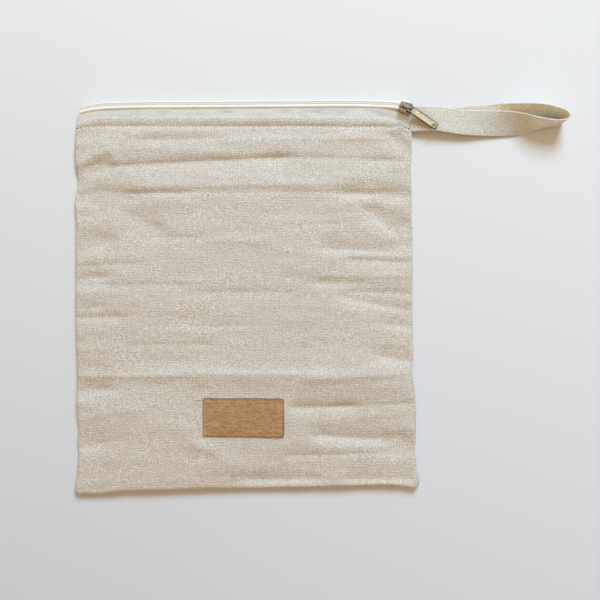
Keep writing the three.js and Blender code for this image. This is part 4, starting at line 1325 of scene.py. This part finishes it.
def coil_half(name, side, node):
    turns = (coil_right - coil_left) / COIL_PITCH
    t = np.arange(0, turns, 1 / TURN_STEPS)
    x = coil_left + COIL_PITCH * (t + (0.5 if side > 0 else 0.0))
    x = np.minimum(x, coil_right)
    phase = 2 * math.pi * t
    half_reach = (COIL_WIDTH / 2 - PIECE_GAP / 2 + MESH_OVER - FILAMENT) / 2
    middle = (COIL_WIDTH / 2 - PIECE_GAP / 2 - MESH_OVER) / 2 + PIECE_GAP / 2
    flat = np.sign(np.cos(phase)) * np.abs(np.cos(phase)) ** 0.6
    tall = np.sign(np.sin(phase)) * np.abs(np.sin(phase)) ** 0.4
    half_height = (COIL_HEIGHT - COIL_SINK - FILAMENT) / 2
    y = coil_line(x) + side * (middle + half_reach * flat)
    z = coil_middle_z(x) + half_height * tall
    spiral = swept_tube(round_tube(np.stack([x, y, z], -1), FILAMENT / 2, 6))
    core_x = np.linspace(coil_left, coil_right, 160)
    core_y = coil_line(core_x) + side * (middle + CORE_SHIFT)
    core_path = np.stack([core_x, core_y, coil_middle_z(core_x)], -1)
    core_rings = round_tube(core_path, CORE_RADIUS, 10)
    core_rings[..., 1] = core_y[:, None] + CORE_WIDENING * (core_rings[..., 1] - core_y[:, None])
    core = swept_tube(core_rings)
    points, faces = joined([spiral, core])
    piece = make_piece(name, points, faces, coil_white)
    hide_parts(node)
    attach(piece, "bag")


coil_half("coil_front", -1, "zip_coil_front")
coil_half("coil_back", 1, "zip_coil_back")


# %% Stitches that hold the coil
COIL_THREAD = 0.16  # radius
COIL_THREAD_WAVE = 0.1


def coil_stitches(name, offsets):
    """Wavy threads over the coil, each at its own distance from the middle line."""
    parts = []
    for offset in offsets:
        x = np.arange(coil_left + 1, coil_right - 1, COIL_PITCH / 6)
        beat = np.sin(2 * math.pi * x / COIL_PITCH)
        y = coil_line(x) + offset + COIL_THREAD_WAVE * beat
        coil_top = CHAIN_Z + chain_lift(x) + COIL_HEIGHT - COIL_SINK
        z = coil_top + COIL_THREAD_WAVE * (np.abs(beat) - 1)
        parts.append(swept_tube(round_tube(np.stack([x, y, z], -1), COIL_THREAD, 5)))
    points, faces = joined(parts)
    piece = make_piece(name, points, faces, white_thread)
    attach(piece, "bag")


coil_stitches("coil_stitches", (-2.05, -1.5, 1.5, 2.05))

# %% [markdown]
# ## Rows of stitches
# A sewn stitch comes up through the cloth, lies along it and goes down again. One short bent tube
# is made for each stitch, and a whole row is joined into one piece.


# %% Stitches along a path
THREAD_SIDES = 6


def stitch_row(path, outward, pitch, length, radius, proud):
    """Points and faces of stitches along a path; outward is the cloth's normal at its points."""
    travelled = travelled_along(path)
    centres = np.arange(pitch, travelled[-1] - pitch, pitch)
    t = np.linspace(-0.5, 0.5, 7)
    at = centres[:, None] + length * t[None]
    place = np.stack([np.interp(at, travelled, path[:, i]) for i in range(3)], -1)
    normal = unit(np.stack([np.interp(at, travelled, outward[:, i]) for i in range(3)], -1))
    arch = proud - (proud + radius * 1.6) * (2 * np.abs(t)) ** 4
    place = place + normal * arch[None, :, None]
    travel = unit(np.gradient(place, axis=1))
    side = unit(np.cross(travel, normal))
    up = np.cross(side, travel)
    angle = np.arange(THREAD_SIDES) * 2 * math.pi / THREAD_SIDES
    ring = side[:, :, None] * np.cos(angle)[None, None, :, None]
    ring = ring + up[:, :, None] * np.sin(angle)[None, None, :, None]
    taper = radius * (1 - 0.35 * (2 * np.abs(t)) ** 3)
    return many_tubes(place[:, :, None] + taper[None, :, None, None] * ring)


# %% Topstitch under the mouth
stitch_x = np.linspace(STITCH_START, -STITCH_START, 500)
stitch_y = stitch_line(stitch_x)
stitch_path = np.stack([stitch_x, stitch_y, front_outer_z(stitch_x, stitch_y)], -1)
upward = np.tile([0.0, 0.0, 1.0], (len(stitch_path), 1))
points, faces = stitch_row(
    stitch_path, upward, pitch=STITCH_PITCH, length=2.0, radius=0.3, proud=0.2
)
mouth_stitches = make_piece("mouth_stitches", points, faces, cream_thread)
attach(mouth_stitches, "bag")

# %% [markdown]
# ## The wrist strap
# The strap is a strip of muslin folded to four layers and sewn along both edges. Its ends are sewn
# into the side seam one over the other, and the band twists a quarter turn on its way out, so the
# loop's far end stands on its edge. A flat section with sewn edges is swept along that route.

# %% Route of the strap
# reach as a share of STRAP_REACH, side as a share of STRAP_WIDTH, lean in degrees, layers below it
STRAP_ROWS = [
    (0.0, 0.0, 0, 2.07),
    (0.08, 0.0, -4, 2.5),
    (0.18, -0.02, -7, 2.45),
    (0.33, -0.14, -4, 2.1),
    (0.53, -0.18, 12, 0.9),
    (0.68, -0.22, 38, 0.2),
    (0.81, -0.27, 70, 0.2),
    (0.92, -0.25, 87, 0.2),
    (0.985, -0.17, 90, 0.2),
    (1.0, -0.03, 90, 0.2),
    (0.98, 0.13, 90, 0.2),
    (0.92, 0.25, 88, 0.2),
    (0.85, 0.3, 80, 0.2),
    (0.735, 0.24, 62, 0.2),
    (0.63, 0.13, 34, 0.2),
    (0.53, 0.08, 13, 0.1),
    (0.355, 0.03, 3, 0.25),
    (0.18, -0.05, 0, 0.6),
    (0.08, 0.0, 0, 0.95),
    (0.0, 0.0, 0, 1.07),
]
strap_middle_y = TOP_Y - STRAP_SETBACK
root_places = strap_middle_y + (np.arange(9) / 8 - 0.5) * STRAP_WIDTH
strap_root_x = float(right_edge(root_places).max()) + PIECE_GAP
layer_pitch = STRAP_THICK + PIECE_GAP


def strap_place(reach, side, lean, raised):
    turn = math.radians(lean)
    height = raised * layer_pitch + STRAP_THICK / 2 * math.cos(turn)
    height = height + STRAP_WIDTH / 2 * abs(math.sin(turn))
    return (strap_root_x + reach * STRAP_REACH, strap_middle_y + side * STRAP_WIDTH, height)


def curve_through(points, shares):
    """A smooth curve through points, spaced by the roots of their distances so it never loops."""
    points = np.asarray(points, float)
    ends = [2 * points[0] - points[1], *points, 2 * points[-1] - points[-2]]
    made = []
    for share in shares:
        place = (len(points) - 1) * share
        i = min(int(place), len(points) - 2)
        t = place - i
        p0, p1, p2, p3 = ends[i], ends[i + 1], ends[i + 2], ends[i + 3]
        d1 = max(np.linalg.norm(p2 - p1) ** 0.5, 1e-4)
        d0, d2 = (np.linalg.norm(b - a) ** 0.5 for a, b in ((p0, p1), (p2, p3)))
        d0, d2 = (d if d > 1e-4 else d1 for d in (d0, d2))
        s1 = ((p1 - p0) / d0 - (p2 - p0) / (d0 + d1) + (p2 - p1) / d1) * d1
        s2 = ((p2 - p1) / d1 - (p3 - p1) / (d1 + d2) + (p3 - p2) / d2) * d1
        cubic = 2 * p1 - 2 * p2 + s1 + s2
        square = -3 * p1 + 3 * p2 - 2 * s1 - s2
        made.append(((cubic * t + square) * t + s1) * t + p1)
    return np.array(made)


# %% Sweeping the strap's section
STRAP_STATIONS = 260
STRAP_STITCH = 7.9  # middle of the strap to its rows of stitches
SEAM_GRIP = 2.2  # length of the strap's ends inside the side seam
strap_shares = np.linspace(0, 1, STRAP_STATIONS)
strap_middle = curve_through([strap_place(*row) for row in STRAP_ROWS], strap_shares)
strap_leans = [(math.radians(row[2]), 0.0, 0.0) for row in STRAP_ROWS]
strap_lean = curve_through(strap_leans, strap_shares)[:, 0]
strap_travel = travel_along(strap_middle)
strap_up = np.stack([0 * strap_lean, np.cos(strap_lean), np.sin(strap_lean)], -1)
strap_up -= strap_travel * np.sum(strap_up * strap_travel, axis=1, keepdims=True)
strap_up = unit(strap_up)
strap_normal = np.cross(strap_travel, strap_up)
strap_run = travelled_along(strap_middle)
STRAP_LENGTH = float(strap_run[-1])
from_root = np.minimum(strap_run, STRAP_LENGTH - strap_run)
strap_middle[:, 0] -= SEAM_GRIP * (1 - smoothstep(from_root, 0, 4 * SEAM_GRIP))


STRAP_ROUND = 0.6  # width of the strap's rounded edges
STITCH_GROOVE = 0.28  # depth of the sewn groove, as a share of half the thickness
GROOVE_REACH = 0.55


def strap_half_thick(across):
    """Half the strap's thickness: full in the middle, sunk along the stitches, rounded outside."""
    out = np.abs(across)
    in_round = np.clip((out - (STRAP_WIDTH / 2 - STRAP_ROUND)) / STRAP_ROUND, 0, 1)
    body = np.sqrt(np.clip(1 - in_round**2, 0, 1))
    sunk = STITCH_GROOVE * np.exp(-((out - STRAP_STITCH) / GROOVE_REACH) ** 2)
    return STRAP_THICK / 2 * np.maximum(body - sunk, 0.05)


half_section = [1, 3, 5, 6.6, 7.4, 7.9, 8.4, 8.9, 9.2, 9.42, 9.5]
section = np.array([-place for place in reversed(half_section)] + half_section)
section_across = np.concatenate([section, section[-2:0:-1]])
section_side = np.concatenate([np.ones(len(section)), -np.ones(len(section) - 2)])


STRAP_WAVE = 0.12


def strap_surface(across, side):
    """Points of the strap's faces, with the slight waves of a soft band."""
    wave = STRAP_WAVE * soft_noise(strap_run[:, None] / 7 + 0 * across, across / 6 + 5, 31)
    calm = np.clip(np.minimum(strap_run, STRAP_LENGTH - strap_run) / 12, 0, 1)[:, None]
    off_middle = strap_half_thick(across) * side + wave * calm * (1 - np.abs(across) / 14)
    sideways = across[..., None] * strap_up[:, None]
    return strap_middle[:, None] + sideways + off_middle[..., None] * strap_normal[:, None]


rings = strap_surface(section_across[None], section_side[None])
points, faces = swept_tube(rings)
around = np.cumsum(np.abs(np.diff(section_across, prepend=section_across[0])))
flat = np.stack(np.broadcast_arrays(strap_run[:, None], around[None]), -1).reshape(-1, 2)
strap = make_piece("strap", points, faces, strap_cloth, flat)
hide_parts("wrist_strap")
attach(strap, "bag")
print("strap's length, mm:", round(STRAP_LENGTH, 1))

# %% Stitches along the strap
parts = []
for across in (-STRAP_STITCH, STRAP_STITCH):
    for side in (1, -1):
        path = strap_surface(np.full((1, 1), across), np.full((1, 1), float(side)))[:, 0]
        outward = side * strap_normal
        parts.append(stitch_row(path, outward, pitch=2.6, length=1.9, radius=0.17, proud=0.1))
points, faces = joined(parts)
strap_stitches = make_piece("strap_stitches", points, faces, white_thread)
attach(strap_stitches, "bag")

# %% [markdown]
# ## The leather patch
# The patch is cut with a knife, so its edge is square and dark, and its corners are barely rounded.
# It follows the cloth under it, and the seam along its border pulls that border down a little.

# %% Patch
PATCH_RIM = 1.8  # width of the finer grid along its edge
patch_reaches = [0.0, 0.06, 0.2, 0.45, 0.8, 1.3, PATCH_RIM]
patch_rows = stop_list(patch_reaches, 54, patch_reaches)
patch_columns = stop_list(patch_reaches, 110, patch_reaches)
PATCH_GAP = 0.06  # between the patch and the cloth
PATCH_SEAM = 1.7  # edge to seam
PATCH_SEAM_SINK = 0.22
PATCH_EDGE_ROLL = 0.45
CUT_DARKENING = 0.55  # reach of the darker cut edge
PATCH_STRAY = 0.22  # of its upper and lower edges
PATCH_BOW = 0.12


def patch_face(upper, rows, columns):
    grid, rims, strips = [], [], []
    half_width, half_height = PATCH_WIDTH / 2, PATCH_HEIGHT / 2
    runs = (PATCH_RIM, PATCH_RIM, 0.0, PATCH_RIM)
    for stop in rows:
        y0 = place_stop(stop, -half_height, half_height, *runs)
        from_end = half_height - abs(y0)
        to_centre = PATCH_CORNER - min(from_end, PATCH_CORNER)
        low = -half_width + PATCH_CORNER - math.sqrt(PATCH_CORNER**2 - to_centre**2)
        x = np.array([place_stop(column, low, -low, *runs) for column in columns])
        wander = PATCH_STRAY * soft_noise(x / 9, 3.5 + 0 * x, 41) * (abs(y0) / half_height) ** 6
        slope = (x / half_width + 1) / 2 * (-0.95 if y0 < 0 else -0.5) * abs(y0) / half_height
        y = PATCH_Y + y0 + wander + slope
        x = x + 0.15 * soft_noise(0.5 + 0 * x, y / 7, 42) * (np.abs(x) / half_width) ** 6
        rim = np.minimum(from_end, half_width - np.abs(x))
        z = front_outer_z(x, y) + PATCH_GAP
        if upper:
            seam = PATCH_SEAM_SINK * np.exp(-((rim - PATCH_SEAM) / 0.7) ** 2)
            bowed = PATCH_BOW * soft_noise(x / 13, y / 9, 43)
            z = z + PATCH_WALL * (0.35 + 0.65 * roll(rim / PATCH_EDGE_ROLL)) - seam + bowed
        grid.append(np.stack([x, y, z], -1))
        rims.append(np.exp(-((rim / CUT_DARKENING) ** 2)))
        strips.append(1 - smoothstep(x + half_width, PATCH_SEAM - 0.3, PATCH_SEAM + 0.3))
    return np.array(grid), np.array(rims), np.array(strips)


patch_outer, outer_rims, outer_strips = patch_face(True, patch_rows, patch_columns)
patch_inner, inner_rims, inner_strips = patch_face(False, patch_rows[::2], patch_columns[::2])
points, faces = closed_sheet(patch_outer, patch_inner, 2)
patch = make_piece("patch", points, faces, leather, points[:, :2])
point_values(patch, "edge", np.concatenate([outer_rims.ravel(), np.ones(inner_rims.size)]))
point_values(patch, "strip", np.concatenate([outer_strips.ravel(), inner_strips.ravel()]))
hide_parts("leather_patch")
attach(patch, "bag")


# %% Patch stitches and loose thread ends
def patch_top(x, y):
    """Height of the patch's upper face along its seam."""
    return front_outer_z(x, y) + PATCH_GAP + PATCH_WALL - PATCH_SEAM_SINK


def patch_seam(start, end):
    share = np.linspace(0, 1, 120)[:, None]
    flat_path = np.array(start) * (1 - share) + np.array(end) * share
    path = np.column_stack([flat_path, patch_top(flat_path[:, 0], flat_path[:, 1])])
    outward = np.tile([0.0, 0.0, 1.0], (len(path), 1))
    return stitch_row(path, outward, pitch=2.2, length=1.5, radius=0.17, proud=0.08)


seam_x, seam_y = PATCH_WIDTH / 2 - PATCH_SEAM, PATCH_HEIGHT / 2 - PATCH_SEAM
corners = [
    (-seam_x, PATCH_Y - seam_y), (seam_x, PATCH_Y - seam_y),
    (seam_x, PATCH_Y + seam_y), (-seam_x, PATCH_Y + seam_y),
]
parts = [patch_seam(corners[i], corners[(i + 1) % 4]) for i in range(4)]


END_THREAD = 0.13  # radius
END_LIES = 0.18  # height of a loose end over the cloth
END_LEAVES = 1.25  # how much higher it is where it leaves the patch


def loose_end(places):
    """A thread end from the patch's corner down to the cloth; y is from the patch's middle."""
    shares = np.linspace(0, 1, 24)
    flat_path = curve_through([(x, PATCH_Y + y, 0.0) for x, y in places], shares)[:, :2]
    height = front_outer_z(flat_path[:, 0], flat_path[:, 1]) + END_LIES
    height = height + END_LEAVES * (1 - smoothstep(shares, 0.1, 0.5))
    return swept_tube(round_tube(np.column_stack([flat_path, height]), END_THREAD, 5))


parts.append(loose_end([(-28.6, 12.6), (-30.6, 12.9), (-33.0, 12.4), (-35.5, 12.7)]))
parts.append(loose_end([(29.0, -12.6), (28.6, -14.6), (26.6, -16.0), (23.6, -16.9)]))
points, faces = joined(parts)
patch_stitches = make_piece("patch_stitches", points, faces, tan_thread)
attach(patch_stitches, "bag")

# %% [markdown]
# ## The slider and its pull
# Both are die cast and plated. Their solids already have the right shape, so they stay, and a
# narrow bevel rounds the edges that light would catch.


# %% Nickel on the slider and the pull
BEVEL_FROM = math.radians(35)  # flatter edges stay as they are


def finish_casting(node, width, metal):
    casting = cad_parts[node]
    casting.data.materials.clear()
    casting.data.materials.append(metal)
    bevel = casting.modifiers.new("round_edges", "BEVEL")
    bevel.width = width * MM
    bevel.segments = 2
    bevel.limit_method = "ANGLE"
    bevel.angle_limit = BEVEL_FROM
    bevel.harden_normals = True
    return casting


# %% The pull's painted dark rim
# painted reflection: the raised rim is painted dark brown for the dark room that its turned edges
# mirror; it is darker farther than RIM_START from the pull's spine
PULL_LENGTH = 25.4
PULL_TURN = math.radians(-33)
RIM_START = 1.95
RIM_BLUR = 0.2
RIM_REFLECTION_BROWN = (0.07, 0.048, 0.028, 1.0)
TIP_SETBACK = 2.7  # the pull's far end to the middle of its hole
head = (slider_x + 2.2, slider_y - 0.7)
# painted light: the pull's copy of the nickel is painted much lighter than the slider's
pull_metal, tree, shader, on_object, metal = plated(
    "lit_pull_nickel", tarnished=(0.50, 0.46, 0.38), worn_bright=(0.88, 0.88, 0.80)
)
on_pull = add_node(tree, "ShaderNodeMapping", {"vector_type": "TEXTURE"}, Vector=on_object)
on_pull.inputs["Location"].default_value = (head[0] * MM, head[1] * MM, 0.0)
on_pull.inputs["Rotation"].default_value = (0.0, 0.0, PULL_TURN)
along_pull, across_pull = split(tree, on_pull.outputs[0])[0:2]
past_hole = maths(tree, "SUBTRACT", along_pull, (PULL_LENGTH - TIP_SETBACK) * MM)
from_spine = far_away(tree, maths(tree, "MAXIMUM", past_hole, 0.0), across_pull)
rim_end = (RIM_START + RIM_BLUR) * MM
rim_reflection_share = ranged(tree, from_spine, RIM_START * MM, rim_end, 0.0, 0.95)
tree.links.new(mixed(tree, rim_reflection_share, metal, RIM_REFLECTION_BROWN), shader.inputs["Base Color"])

slider = finish_casting("zip_slider", 0.16, nickel)
pull = finish_casting("zip_pull", 0.14, pull_metal)
print("castings:", slider.name, pull.name)

# %% [markdown]
# Each soft piece says what flat size it was cut to and how it lies.

# %% [markdown]
# ## The table
# A pale sheet, wide enough that its edges never show. Painted light: its colour is darker and
# bluer towards the near edge and the left, standing in for the lamp's falloff.

# %% Table
table_material, tree, shader, on_cloth, on_object = new_material("table_white")
table_tone = place_group(tree, mottle, Place=on_object, Size=0.25)
table_x, table_y = split(tree, on_object)[0:2]
# painted light: the table's colour falls off towards the near edge and the left, as the lamp's
# light would
far_light_share = ranged(tree, table_y, -0.23, 0.23)
right_light_share = ranged(tree, table_x, -0.18, 0.27)
near_painted_dimming = mixed(tree, right_light_share, (0.672, 0.685, 0.728, 1.0), (0.735, 0.76, 0.82, 1.0))
far_painted_light = mixed(tree, right_light_share, (0.81, 0.80, 0.775, 1.0), (0.82, 0.81, 0.79, 1.0))
painted_light_falloff = mixed(tree, far_light_share, near_painted_dimming, far_painted_light)
table_worn = ranged(tree, table_tone.outputs["Tone"], 0.0, 1.0, 0.0, 0.1)
table_colour = mixed(tree, table_worn, painted_light_falloff, (0.76, 0.76, 0.76, 1.0))
tree.links.new(table_colour, shader.inputs["Base Color"])
shader.inputs["Roughness"].default_value = 0.8
TABLE_HALF = 3000.0
TABLE_Z = -0.2  # just below the pouch, so the two never lie in one plane
square = [(-1, -1), (1, -1), (1, 1), (-1, 1)]
corners = [(TABLE_HALF * x, TABLE_HALF * y, TABLE_Z) for x, y in square]
table = make_piece("table", corners, [[0, 1, 2, 3]], table_material)
